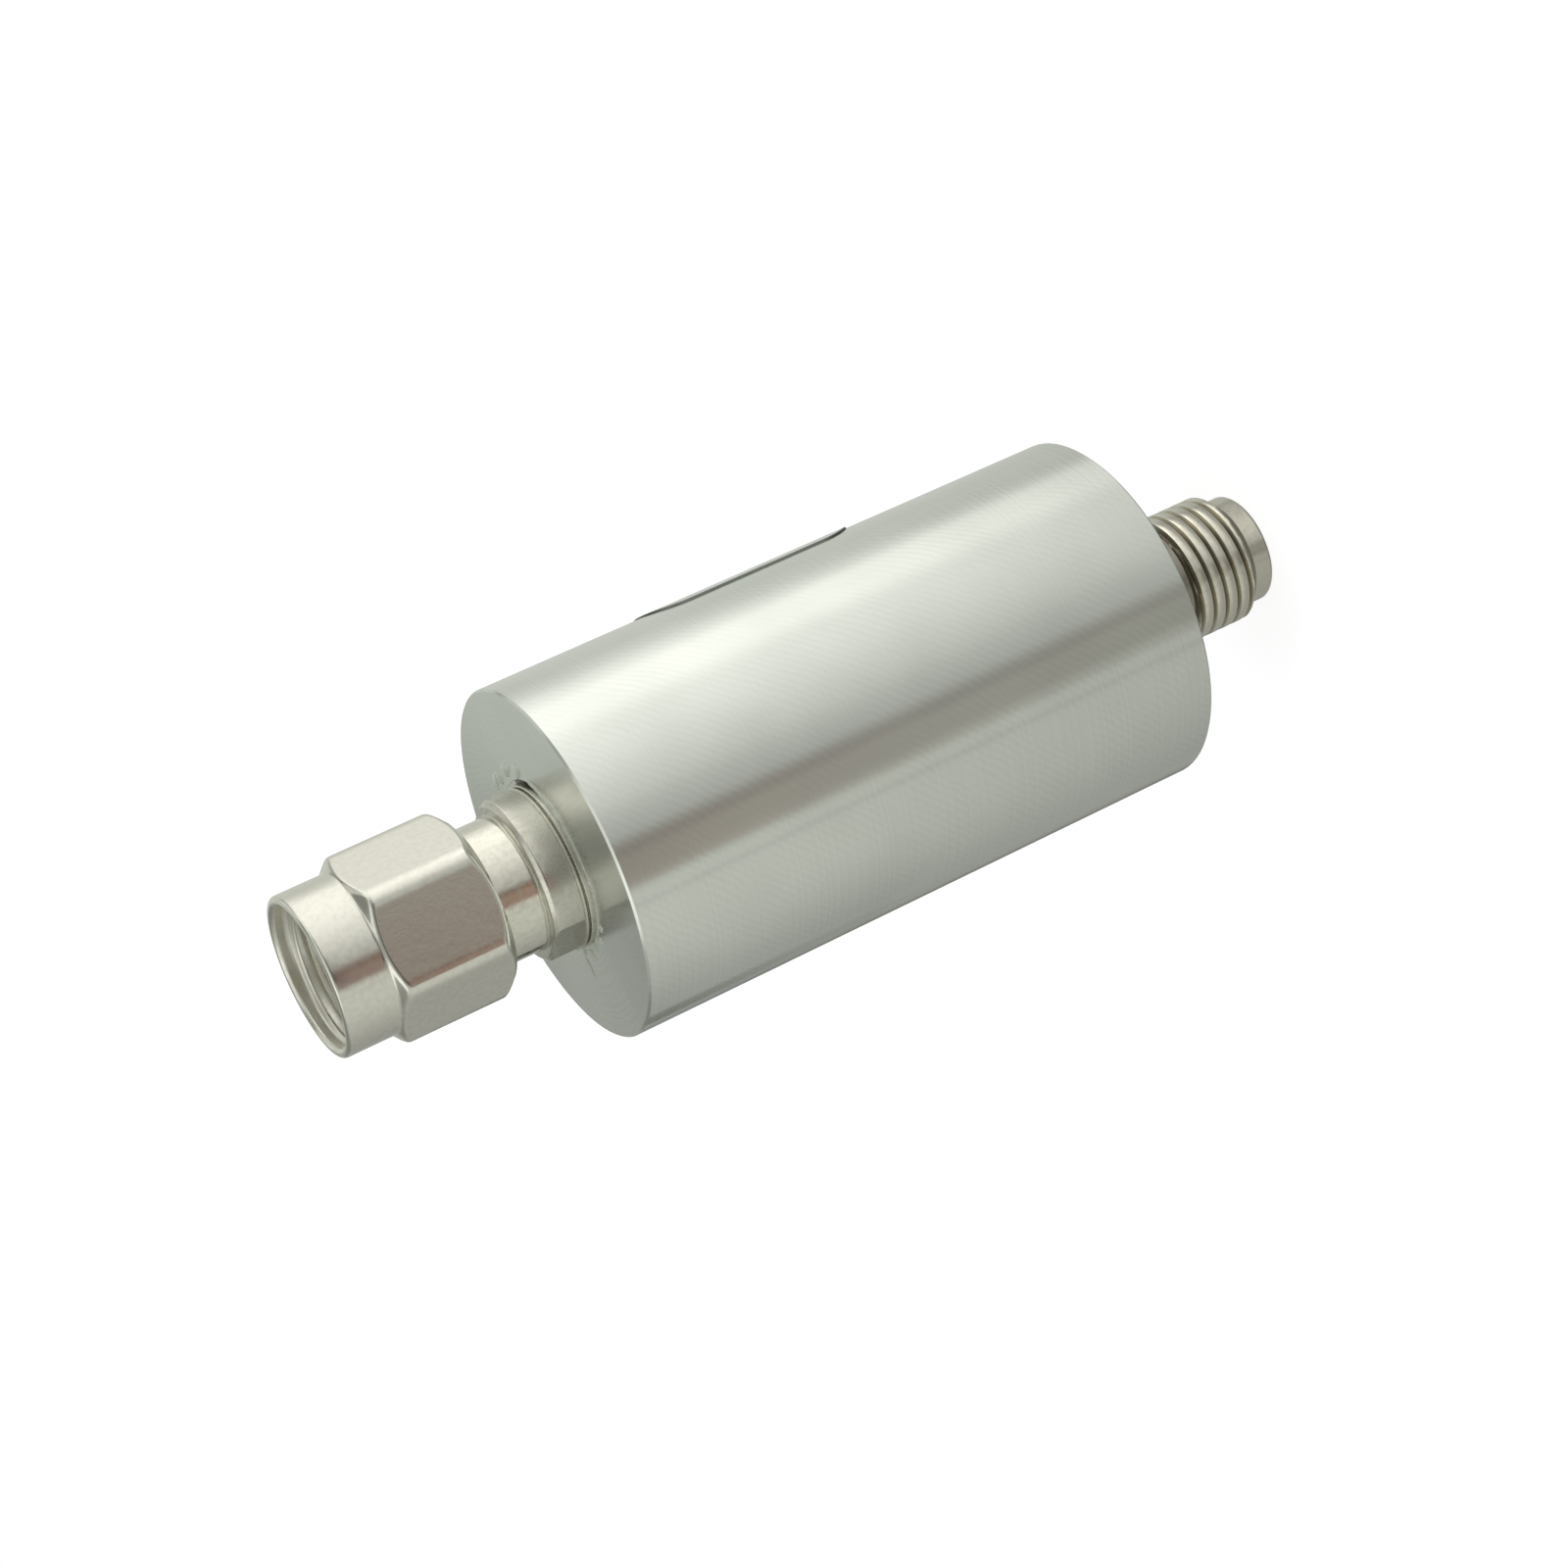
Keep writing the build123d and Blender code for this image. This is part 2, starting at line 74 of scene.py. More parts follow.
# Studio room. A white surround, as the camera sees it, and the room that the metal mirrors: walls,
# a window, the person with the phone, and the table. Each panel has its middle azimuth, in degrees
# from +Y towards +X, half its width, its soft sides, the elevations of its foot and head with their
# blur, and the light that it adds to the room or takes from it.
ROOM_LEVEL = (0.355, 0.36, 0.335)
AMBIENT_LEVEL = 0.78
PANELS = {
    "back_wall": dict(
        middle=26, half=24, rise=22, fall=18, foot=-40, head=15, blur=30, level=(0.26, 0.27, 0.25)
    ),
    "curtain": dict(
        middle=10, half=60, rise=15, fall=15, foot=8, head=70, blur=8, level=(-0.12, -0.12, -0.115)
    ),
    "door": dict(
        middle=20, half=16, rise=5, fall=8, foot=8, head=60, blur=8, level=(0.23, 0.25, 0.225)
    ),
    "skirting": dict(
        middle=30, half=20, rise=10, fall=10, foot=-45, head=-27, blur=4, level=(-0.12, -0.12, -0.11)
    ),
    "corner": dict(
        middle=350, half=8, rise=5, fall=10, foot=-30, head=-17, blur=3, level=(-0.2, -0.2, -0.19)
    ),
    "bright_wall": dict(
        middle=89, half=11, rise=30, fall=110, slant=-0.08, foot=-25.5, head=12, blur=3,
        level=(0.80, 0.79, 0.75),
    ),
    "upper_wall": dict(
        middle=99, half=8, rise=25, fall=45, foot=12, head=45, blur=4, level=(0.65, 0.65, 0.61)
    ),
    "blind": dict(
        middle=50, half=15, rise=15, fall=15, foot=22, head=50, blur=6, level=(0.4, 0.4, 0.38)
    ),
    "window": dict(
        middle=90, half=6, rise=12, fall=20, foot=-27, head=-17.5, blur=3, level=(0.38, 0.37, 0.345)
    ),
    "hand": dict(
        middle=200, half=10, rise=8, fall=4, foot=-20, head=-5, blur=4, level=(-0.12, -0.19, -0.18)
    ),
    "fingers": dict(
        middle=205, half=9, rise=5, fall=5, foot=-18.5, head=-15.3, blur=1, level=(0.09, 0.02, -0.02)
    ),
    "shirt": dict(
        middle=190, half=4, rise=4, fall=4, foot=-19, head=-10, blur=2, level=(-0.08, -0.08, -0.09)
    ),
    "cuff": dict(
        middle=198, half=10, rise=8, fall=4, foot=-38, head=-28, blur=1.5, level=(-0.17, -0.18, -0.18)
    ),
    "paper": dict(
        middle=203, half=7, rise=6, fall=4, foot=-28, head=-18, blur=1.5, level=(0.125, 0.145, 0.12)
    ),
    "phone": dict(
        middle=184, half=14, rise=8, fall=8, foot=-7, head=16, blur=8, level=(-0.3, -0.3, -0.28)
    ),
    "table": dict(middle=225, half=7, rise=9, fall=90, foot=-27, blur=4, level=(0.26, 0.265, 0.235)),
    "table_edge": dict(middle=224.5, half=0.8, rise=1, fall=1, level=(-0.09, -0.09, -0.08)),
    "ceiling_lamp": dict(
        middle=190, half=75, rise=12, fall=25, foot=50, head=82, blur=10, level=(0.5, 0.5, 0.48)
    ),
    "chair": dict(
        middle=325, half=5, rise=4, fall=4, foot=-18.5, head=-15.5, blur=1, level=(-0.32, -0.32, -0.31)
    ),
    "below": dict(middle=0, half=180, head=-42, blur=14, level=(-0.12, -0.12, -0.11)),
}

room = bpy.data.worlds.new("studio_room")
bpy.context.scene.world = room
room.use_nodes = True


def shader_node(tree, kind, inputs=None, **settings):
    """Add one shader node, set its options, and set or link its inputs."""
    node = tree.nodes.new("ShaderNode" + kind)
    for name, value in settings.items():
        setattr(node, name, value)
    for key, value in (inputs or {}).items():
        socket = node.inputs[key]
        if isinstance(value, bpy.types.NodeSocket):
            tree.links.new(value, socket)
        else:
            socket.default_value = value
    return node


def calc(tree, operation, *values):
    """One Math node; the result is its output socket."""
    return shader_node(tree, "Math", dict(enumerate(values)), operation=operation).outputs[0]


def ramp_between(tree, value, low, high, to_low=0.0, to_high=1.0):
    """Smooth change from one value to another as the input goes from low to high."""
    inputs = {"Value": value, "From Min": low, "From Max": high, "To Min": to_low, "To Max": to_high}
    return shader_node(tree, "MapRange", inputs, interpolation_type="SMOOTHSTEP").outputs["Result"]


def blend_colours(tree, factor, first, second):
    """One Mix node for two colours; the result is its output socket."""
    node = shader_node(tree, "Mix", {"Factor": factor}, data_type="RGBA")
    for socket, value in ((node.inputs[6], first), (node.inputs[7], second)):
        if isinstance(value, bpy.types.NodeSocket):
            tree.links.new(value, socket)
        else:
            socket.default_value = (*value, 1.0)[:4]
    return node.outputs[2]


sky = room.node_tree
sky.nodes.clear()
direction = shader_node(sky, "TexCoord").outputs["Generated"]
split = shader_node(sky, "SeparateXYZ", {"Vector": direction})
azimuth = calc(sky, "DEGREES", calc(sky, "ARCTAN2", split.outputs["X"], split.outputs["Y"]))
elevation = calc(sky, "DEGREES", calc(sky, "ARCSINE", split.outputs["Z"]))
mirrored_room = shader_node(sky, "CombineXYZ", dict(zip("XYZ", ROOM_LEVEL))).outputs[0]
for panel in PANELS.values():
    half = panel["half"]
    offset = calc(sky, "WRAP", calc(sky, "SUBTRACT", azimuth, panel["middle"]), 180.0, -180.0)
    share = ramp_between(sky, offset, -half - panel.get("rise", 1), -half)
    fall = ramp_between(sky, offset, half, half + panel.get("fall", 1), 1.0, 0.0)
    share = calc(sky, "MULTIPLY", share, fall)
    height = calc(sky, "SUBTRACT", elevation, calc(sky, "MULTIPLY", offset, panel.get("slant", 0.0)))
    for edge, below, above in (("foot", 0.0, 1.0), ("head", 1.0, 0.0)):
        if edge in panel:
            reach = panel["blur"] / 2
            fade = ramp_between(sky, height, panel[edge] - reach, panel[edge] + reach, below, above)
            share = calc(sky, "MULTIPLY", share, fade)
    tint = shader_node(sky, "VectorMath", {0: panel["level"], "Scale": share}, operation="SCALE")
    mirrored_room = shader_node(sky, "VectorMath", {0: mirrored_room, 1: tint.outputs[0]}).outputs[0]
ray = shader_node(sky, "LightPath").outputs
mirror_ray = calc(sky, "MAXIMUM", ray["Is Glossy Ray"], ray["Is Transmission Ray"])
lit = blend_colours(sky, mirror_ray, (AMBIENT_LEVEL,) * 3, mirrored_room)
seen = blend_colours(sky, ray["Is Camera Ray"], lit, (1.0, 1.0, 1.0))
surround = shader_node(sky, "Background", {"Color": seen})
shader_node(sky, "OutputWorld", {"Surface": surround.outputs[0]})

# Lamp and floor. One broad soft lamp overhead, and a white floor that the part stands on, which
# takes its shadow.
LAMP_STRENGTH = 0.9
LAMP_SPREAD = 50
LAMP_TILT = (24, 20, 0)
FLOOR_SIZE = 800 * MM
FLOOR_GLOW = 0.82
FLOOR_PAINT = 0.32
FLOOR_UNSEEN = 0.8

overhead = bpy.data.lights.new("overhead_lamp", "SUN")
overhead.energy = LAMP_STRENGTH
overhead.angle = math.radians(LAMP_SPREAD)
overhead_lamp = place_in_scene("overhead_lamp", overhead)
overhead_lamp.rotation_euler = [math.radians(tilt) for tilt in LAMP_TILT]
overhead_lamp.visible_glossy = False

floor_mesh = bpy.data.meshes.new("floor")
reach = FLOOR_SIZE / 2
floor_corners = [(-reach, -reach, 0), (reach, -reach, 0), (reach, reach, 0), (-reach, reach, 0)]
floor_mesh.from_pydata(floor_corners, [], [(0, 1, 2, 3)])
floor = place_in_scene("floor", floor_mesh)
floor.visible_glossy = False
floor_paint = bpy.data.materials.new("floor_paint")
floor_paint.use_nodes = True
paint = floor_paint.node_tree
paint.nodes.clear()
matt = shader_node(paint, "BsdfDiffuse", {"Color": (FLOOR_PAINT,) * 3 + (1.0,)})
glow = shader_node(paint, "Emission", {"Strength": FLOOR_GLOW})
both = shader_node(paint, "AddShader", {0: matt.outputs[0], 1: glow.outputs[0]})
plain = shader_node(paint, "BsdfDiffuse", {"Color": (FLOOR_UNSEEN,) * 3 + (1.0,)})
ray = shader_node(paint, "LightPath").outputs
mirror_ray = calc(paint, "MAXIMUM", ray["Is Glossy Ray"], ray["Is Transmission Ray"])
looked_at = calc(paint, "MAXIMUM", ray["Is Camera Ray"], mirror_ray)
shown = shader_node(paint, "MixShader", {0: looked_at, 1: plain.outputs[0], 2: both.outputs[0]})
shader_node(paint, "OutputMaterial", {"Surface": shown.outputs[0]})
floor_mesh.materials.append(floor_paint)


# Housing sleeve. Aluminium bar, turned, faced, bored right through and tapped on a lathe, and left
# bare. The tool has left fine rings round it and on both end faces, with a faint slanting chatter.
SLEEVE_COLOUR = (0.80, 0.825, 0.79)
SLEEVE_ROUGHNESS = 0.19
SLEEVE_FEED = 0.12
SLEEVE_RING_DEPTH = 0.0005
SLEEVE_BRUSHED = 0.93
SLEEVE_CHATTER = 0.5
CHATTER_SPACING = 0.48
CHATTER_COUNT = 103
# The chatter's changing reflection is also painted into the colour as light and dark bands: painted
# reflection.
CHATTER_PAINTED_SHEEN = 0.028
CHATTER_SWAY = 11.0
RING_WAVE = 0.25
STREAK_SCALE = 0.9
PATCH_SCALE = 420.0
HAZE_SCALE = 180.0


def shader_group(name, inputs, outputs):
    """An empty shader node group with named value inputs and outputs."""
    group = bpy.data.node_groups.new(name, "ShaderNodeTree")
    for label, default in inputs.items():
        socket = group.interface.new_socket(label, in_out="INPUT", socket_type="NodeSocketFloat")
        socket.default_value = default
    for label in outputs:
        group.interface.new_socket(label, in_out="OUTPUT", socket_type="NodeSocketFloat")
    return group, group.nodes.new("NodeGroupInput").outputs, group.nodes.new("NodeGroupOutput").inputs


def noise(tree, place, scale, detail=2.0, dimensions="3D"):
    """One Noise texture. place is a position, or one value for lines."""
    key = "W" if dimensions == "1D" else "Vector"
    inputs = {key: place, "Scale": scale, "Detail": detail}
    return shader_node(tree, "TexNoise", inputs, noise_dimensions=dimensions).outputs[0]


# The rings that a lathe tool leaves, in turning and in facing alike, follow height plus radius. Feed
# is their spacing and Grain the size of the haze, in millimetres, and Chatter slants across the rings.
turned_rings, ring_in, ring_out = shader_group(
    "turned_rings", {"Feed": 0.1, "Unevenness": 0.5, "Chatter": 0.0},
    ("Height", "Streak", "Haze", "Chatter"),
)
position = shader_node(turned_rings, "TexCoord").outputs["Object"]
place = shader_node(turned_rings, "SeparateXYZ", {"Vector": position}).outputs
radius = calc(turned_rings, "SQRT", calc(
    turned_rings, "ADD",
    calc(turned_rings, "MULTIPLY", place["X"], place["X"]),
    calc(turned_rings, "MULTIPLY", place["Y"], place["Y"]),
))
travel = calc(turned_rings, "MULTIPLY", calc(turned_rings, "ADD", place["Z"], radius), 1 / MM)
turns = calc(turned_rings, "DIVIDE", travel, ring_in["Feed"])
ring_wave = calc(turned_rings, "SINE", calc(turned_rings, "MULTIPLY", turns, 2 * math.pi))
uneven = calc(turned_rings, "SUBTRACT", noise(turned_rings, turns, STREAK_SCALE, dimensions="1D"), 0.5)
uneven = calc(turned_rings, "MULTIPLY", uneven, ring_in["Unevenness"])
patch = noise(turned_rings, position, PATCH_SCALE)
bearing = calc(turned_rings, "ARCTAN2", place["Y"], place["X"])
bearing = calc(turned_rings, "MULTIPLY", bearing, -CHATTER_COUNT)
sweep = calc(turned_rings, "MULTIPLY", travel, 2 * math.pi / CHATTER_SPACING)
sweep = calc(turned_rings, "ADD", sweep, calc(turned_rings, "MULTIPLY", patch, CHATTER_SWAY))
chatter = calc(turned_rings, "SINE", calc(turned_rings, "ADD", sweep, bearing))
chatter = calc(turned_rings, "MULTIPLY", chatter, ramp_between(turned_rings, patch, 0.25, 0.6))
chatter = calc(turned_rings, "MULTIPLY", chatter, ring_in["Chatter"])
ring_height = calc(turned_rings, "MULTIPLY_ADD", ring_wave, RING_WAVE, uneven)
turned_rings.links.new(calc(turned_rings, "ADD", ring_height, chatter), ring_out["Height"])
turned_rings.links.new(chatter, ring_out["Chatter"])
streaks = noise(turned_rings, turns, STREAK_SCALE, detail=3.0, dimensions="1D")
turned_rings.links.new(streaks, ring_out["Streak"])
turned_rings.links.new(noise(turned_rings, position, HAZE_SCALE, detail=6.0), ring_out["Haze"])


def metal_surface(name):
    """An empty metal material, its node tree and its surface shader."""
    material = bpy.data.materials.new(name)
    material.use_nodes = True
    surface = material.node_tree.nodes["Principled BSDF"]
    surface.inputs["Metallic"].default_value = 1.0
    return material, material.node_tree, surface


def turned_metal(name, colour, roughness, feed, ring_depth, brushed=0.6, chatter=0.0, tone=0.02):
    """Turned metal: rings bend the light, streaks and haze vary its tone and polish, and the chatter's
    reflection is painted into its tone.
    """
    material, tree, surface = metal_surface(name)
    surface.inputs["Anisotropic"].default_value = brushed
    surface.inputs["Anisotropic Rotation"].default_value = 0.25
    around = shader_node(tree, "Tangent", direction_type="RADIAL", axis="Z")
    tree.links.new(around.outputs[0], surface.inputs["Tangent"])
    rings = shader_node(tree, "Group", node_tree=turned_rings)
    rings.inputs["Feed"].default_value = feed
    rings.inputs["Chatter"].default_value = chatter
    streak = ramp_between(tree, rings.outputs["Streak"], 0.3, 0.7, 1.0 - tone, 1.0 + tone)
    cloud = ramp_between(tree, rings.outputs["Haze"], 0.3, 0.7, 0.97, 1.03)
    # Painted reflection: the chatter's facets are painted lighter and darker in the colour.
    painted_chatter_sheen = calc(tree, "MULTIPLY_ADD", rings.outputs["Chatter"], CHATTER_PAINTED_SHEEN, 1.0)
    shade = calc(tree, "MULTIPLY", calc(tree, "MULTIPLY", streak, cloud), painted_chatter_sheen)
    tint = shader_node(tree, "VectorMath", {0: colour, "Scale": shade}, operation="SCALE")
    tree.links.new(tint.outputs[0], surface.inputs["Base Color"])
    polish = ramp_between(tree, rings.outputs["Streak"], 0.3, 0.7, roughness * 0.94, roughness * 1.06)
    tree.links.new(polish, surface.inputs["Roughness"])
    relief = shader_node(tree, "Bump", {"Height": rings.outputs["Height"], "Distance": ring_depth * MM})
    tree.links.new(relief.outputs[0], surface.inputs["Normal"])
    return material


def finish(node, material):
    """Give a CAD piece its finished material."""
    mesh = cad[node].data
    mesh.materials.clear()
    mesh.materials.append(material)


turned_aluminium = turned_metal(
    "turned_aluminium", SLEEVE_COLOUR, SLEEVE_ROUGHNESS, SLEEVE_FEED, SLEEVE_RING_DEPTH,
    brushed=SLEEVE_BRUSHED, chatter=SLEEVE_CHATTER,
)
finish("housing_sleeve", turned_aluminium)

# Jack body. Brass bar, turned and threaded in one piece, with two wrench flats milled on its
# collar and a cross hole for the contact's lock, then nickel plated. It screws into the sleeve, and
# its thread's grooves are painted darker, as painted shade.
NICKEL_COLOUR = (0.825, 0.825, 0.765)
NICKEL_ROUGHNESS = 0.17
NICKEL_GRAIN = 0.16
NICKEL_GRAIN_DEPTH = 0.0016
DENT_FINENESS = 0.3
CLOUD_FINENESS = 0.6
NICKEL_STAIN = (0.79, 0.765, 0.695)
JACK_COLOUR = (0.81, 0.79, 0.71)
JACK_STAIN = (0.77, 0.73, 0.63)
GROOVE_SHADE_COLOUR = (0.36, 0.335, 0.29)
COLUMNS = 360
THREAD_PITCH = 0.7056
THREAD_DEPTH = 0.34
THREAD_ROWS = 18
CREST_SHARE = 0.66
GROOVE_SHARE = 0.03
CREST_CROWN = 0.024
JACK_MOUTH_RADIUS = 2.3
JACK_MOUTH_DEPTH = 1.95
JACK_MOUTH_CHAMFER = 0.1
JACK_PILOT_RADIUS = 2.665
JACK_PILOT_LENGTH = 1.0
JACK_THREAD_RADIUS = 3.175
JACK_THREAD_LENGTH = 3.75
JACK_UNDERCUT = 0.33
JACK_START = 0.35
RUN_OUT_SLOPE = 3.0
LINE_BORE_RADIUS = 2.06
JACK_REACH = 8.0
COLLAR_REACH = 2.0
COLLAR_RADIUS = 3.9
COLLAR_CHAMFER = 0.2
GROOVE_RADIUS = 3.65
GROOVE_WIDTH = 0.1
FLANGE_RADIUS = 3.95
FLANGE_PROUD = 0.25
FLANGE_SEAT_DEPTH = 0.6
TAIL_RADIUS = 3.5
TAIL_DEPTH = 5.0
TAIL_CHAMFER = 0.3
WRENCH_FLAT = 3.5
WRENCH_FLAT_RIM = 0.18
WRENCH_FLAT_ANGLE = 18.0
SCORE_WIDTH = 0.1
SCORE_DEPTH = 0.07
LOCK_HOLE_RADIUS = 0.4
LOCK_DEPTH = 2.4
EDGE_BREAK = 0.05
HOLDING = 0.02
SHARP_EDGE = 38

# Plated and tumbled metal has a fine orange-peel skin with shallow dents and faint cloudy patches.
# Grain is the size of the peel in millimetres.
tumbled_skin, skin_in, skin_out = shader_group("tumbled_skin", {"Grain": 0.15}, ("Height", "Mottle"))
position = shader_node(tumbled_skin, "TexCoord").outputs["Object"]
fineness = calc(tumbled_skin, "DIVIDE", 1 / MM, skin_in["Grain"])
peel = noise(tumbled_skin, position, fineness, detail=2.0)
coarser = calc(tumbled_skin, "MULTIPLY", fineness, DENT_FINENESS)
dents = noise(tumbled_skin, position, coarser, detail=1.0)
tumbled_skin.links.new(calc(tumbled_skin, "ADD", peel, dents), skin_out["Height"])
coarser = calc(tumbled_skin, "MULTIPLY", fineness, CLOUD_FINENESS)
cloud = noise(tumbled_skin, position, coarser, detail=4.0)
tumbled_skin.links.new(cloud, skin_out["Mottle"])


def skinned(name, colour, stain, roughness, grain, grain_depth, metallic, clouds, spread):
    """A skin of fine grain bends the light, and clouds vary tone and polish by a spread."""
    material, tree, surface = metal_surface(name)
    surface.inputs["Metallic"].default_value = metallic
    skin = shader_node(tree, "Group", node_tree=tumbled_skin)
    skin.inputs["Grain"].default_value = grain
    cloud = ramp_between(tree, skin.outputs["Mottle"], *clouds)
    tree.links.new(blend_colours(tree, cloud, colour, stain), surface.inputs["Base Color"])
    smooth, dull = roughness * (1 - spread), roughness * (1 + spread)
    polish = ramp_between(tree, skin.outputs["Mottle"], 0.3, 0.7, smooth, dull)
    tree.links.new(polish, surface.inputs["Roughness"])
    relief = shader_node(tree, "Bump", {"Height": skin.outputs["Height"], "Distance": grain_depth * MM})
    tree.links.new(relief.outputs[0], surface.inputs["Normal"])
    return material


def tumbled_metal(name, colour, stain, roughness):
    """Plated or passivated metal, tumbled smooth."""
    return skinned(
        name, colour, stain, roughness, NICKEL_GRAIN, NICKEL_GRAIN_DEPTH,
        metallic=1.0, clouds=(0.3, 0.75), spread=0.2,
    )


def ease(share):
    """Smooth change from 0 to 1."""
    share = min(max(share, 0.0), 1.0)
    return share * share * (3 - 2 * share)


def thread_ridge(turn_share, crest_share, groove_share):
    """Height of a worn thread at a share of one turn: 1 on the crest, 0 in the groove."""
    from_crest = abs(2 * (turn_share % 1.0) - 1)
    crown = CREST_CROWN * min(from_crest / crest_share, 1.0) ** 2
    return (1 - crown) * (1 - ease((from_crest - crest_share) / (1 - crest_share - groove_share)))


def plain_rows(corners, steps=4):
    """Rows for a turned outline of (radius, height) corners, each edge broken by a small round.
    Rows close to the rounds keep the faces between them flat."""
    rows = [corners[0]]
    for before, corner, after in zip(corners, corners[1:], corners[2:]):
        here = Vector(corner)
        back = Vector(before) - here
        ahead = Vector(after) - here
        cut = min(EDGE_BREAK, back.length * 0.3, ahead.length * 0.3)
        start = here + back.normalized() * cut
        end = here + ahead.normalized() * cut
        rows.append(tuple(start + back.normalized() * min(HOLDING, back.length * 0.1)))
        for step in range(steps + 1):
            share = step / steps
            rows.append(tuple(start.lerp(here, share).lerp(here.lerp(end, share), share)))
        rows.append(tuple(end + ahead.normalized() * min(HOLDING, ahead.length * 0.1)))
    return rows + [corners[-1]]


def thread_rows(low, high, start, shares, radius_at):
    """Rows that follow the thread from one height to another. start is the share of a turn by which
    it is turned on, shares are those of crest and groove in its pitch, and radius_at gives the
    radius for a ridge height and a height along the axis."""
    rows = []
    turns = int((high - low) / THREAD_PITCH) + 3
    for step in range(-2 * THREAD_ROWS, turns * THREAD_ROWS + 1):
        row = []
        for column in range(COLUMNS + 1):
            share = step / THREAD_ROWS
            height = low + THREAD_PITCH * (share + start + column / COLUMNS)
            height = min(max(height, low), high)
            row.append((radius_at(thread_ridge(share, *shares), height), height))
        rows.append(row)
    return rows


def spin(name, rows, material, body, trim=None):
    """Mesh from rows of (radius, height), each one pair for a plain row or a list by column.
    trim gives the radius for an angle, a radius and a height."""
    sheet = bmesh.new()
    grid = []
    for row in rows:
        line = []
        for column in range(COLUMNS + 1):
            angle = 2 * math.pi * (column % COLUMNS) / COLUMNS
            reach, height = row[column] if isinstance(row, list) else row
            if trim:
                reach = trim(angle, reach, height)
            place = (reach * math.cos(angle) * MM, reach * math.sin(angle) * MM, height * MM)
            line.append(sheet.verts.new(place))
        grid.append(line)
    for lower, upper in zip(grid, grid[1:]):
        for column in range(COLUMNS):
            sheet.faces.new((lower[column], lower[column + 1], upper[column + 1], upper[column]))
    bmesh.ops.remove_doubles(sheet, verts=sheet.verts, dist=0.0002 * MM)
    bmesh.ops.dissolve_degenerate(sheet, edges=sheet.edges, dist=0.0001 * MM)
    bmesh.ops.recalc_face_normals(sheet, faces=sheet.faces)
    mesh = bpy.data.meshes.new(name)
    sheet.to_mesh(mesh)
    sheet.free()
    mesh.materials.append(material)
    piece = place_in_scene(name, mesh)
    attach(piece, body)
    return piece


def smooth_over(piece, angle):
    """Shade a piece smooth, except over edges sharper than the angle."""
    piece.data.shade_smooth()
    piece.data.set_sharp_from_angle(angle=math.radians(angle))


def root_corners(face, outward):
    """Outside of a connector's root: tail, flange, groove and collar, in the order of assembly."""
    collar_start = FLANGE_PROUD + GROOVE_WIDTH
    flat_start = collar_start + WRENCH_FLAT_RIM
    steps = [
        (LINE_BORE_RADIUS, -TAIL_DEPTH),
        (TAIL_RADIUS - TAIL_CHAMFER, -TAIL_DEPTH),
        (TAIL_RADIUS, -TAIL_DEPTH + TAIL_CHAMFER),
        (TAIL_RADIUS, -FLANGE_SEAT_DEPTH),
        (FLANGE_RADIUS, -FLANGE_SEAT_DEPTH),
        (FLANGE_RADIUS, FLANGE_PROUD),
        (GROOVE_RADIUS, FLANGE_PROUD),
        (GROOVE_RADIUS, collar_start),
        (COLLAR_RADIUS, collar_start),
        (COLLAR_RADIUS, flat_start - SCORE_WIDTH),
        (COLLAR_RADIUS - SCORE_DEPTH, flat_start - SCORE_WIDTH / 2),
        (COLLAR_RADIUS, flat_start),
        (COLLAR_RADIUS, COLLAR_REACH - COLLAR_CHAMFER),
        (COLLAR_RADIUS - COLLAR_CHAMFER, COLLAR_REACH),
    ]
    return [(radius, face + outward * height) for radius, height in steps]


def wrench_flats(face, outward):
    """The cut of the two wrench flats on a collar, open to its front, for spin's trim."""
    near = face + outward * (FLANGE_PROUD + GROOVE_WIDTH + WRENCH_FLAT_RIM)
    far = face + outward * COLLAR_REACH

    def trim(angle, reach, height):
        if reach < WRENCH_FLAT or not min(near, far) <= height <= max(near, far):
            return reach
        across = abs(math.cos(angle - math.radians(WRENCH_FLAT_ANGLE)))
        return min(reach, WRENCH_FLAT / max(across, 0.1))

    return trim


def cross_hole(piece, height):
    """Drill the hole for the contact's lock through one side of a connector's tail."""
    drill = bmesh.new()
    along_x = Matrix.Rotation(math.pi / 2, 4, "Y")
    middle = Matrix.Translation((TAIL_RADIUS * MM, 0, height * MM))
    bmesh.ops.create_cone(
        drill, cap_ends=True, segments=32, radius1=LOCK_HOLE_RADIUS * MM, radius2=LOCK_HOLE_RADIUS * MM,
        depth=2 * TAIL_RADIUS * MM, matrix=middle @ along_x,
    )
    drill_mesh = bpy.data.meshes.new("drill")
    drill.to_mesh(drill_mesh)
    drill.free()
    drill_piece = place_in_scene("drill", drill_mesh)
    cut = piece.modifiers.new("cross_hole", "BOOLEAN")
    cut.operation = "DIFFERENCE"
    cut.solver = "EXACT"
    cut.object = drill_piece
    scene_state = bpy.context.evaluated_depsgraph_get()
    drilled = bpy.data.meshes.new_from_object(piece.evaluated_get(scene_state))
    piece.modifiers.clear()
    piece.data = drilled
    bpy.data.objects.remove(drill_piece)


def spot_on_piece(tree):
    """Coordinates of a point of the surface, as three outputs."""
    place = shader_node(tree, "TexCoord").outputs["Object"]
    return shader_node(tree, "SeparateXYZ", {"Vector": place}).outputs


def radius_from_axis(tree):
    """Distance of a point of the surface from the axis."""
    spot = spot_on_piece(tree)
    across = shader_node(tree, "CombineXYZ", {"X": spot["X"], "Y": spot["Y"]}).outputs[0]
    return shader_node(tree, "VectorMath", {0: across}, operation="LENGTH").outputs["Value"]


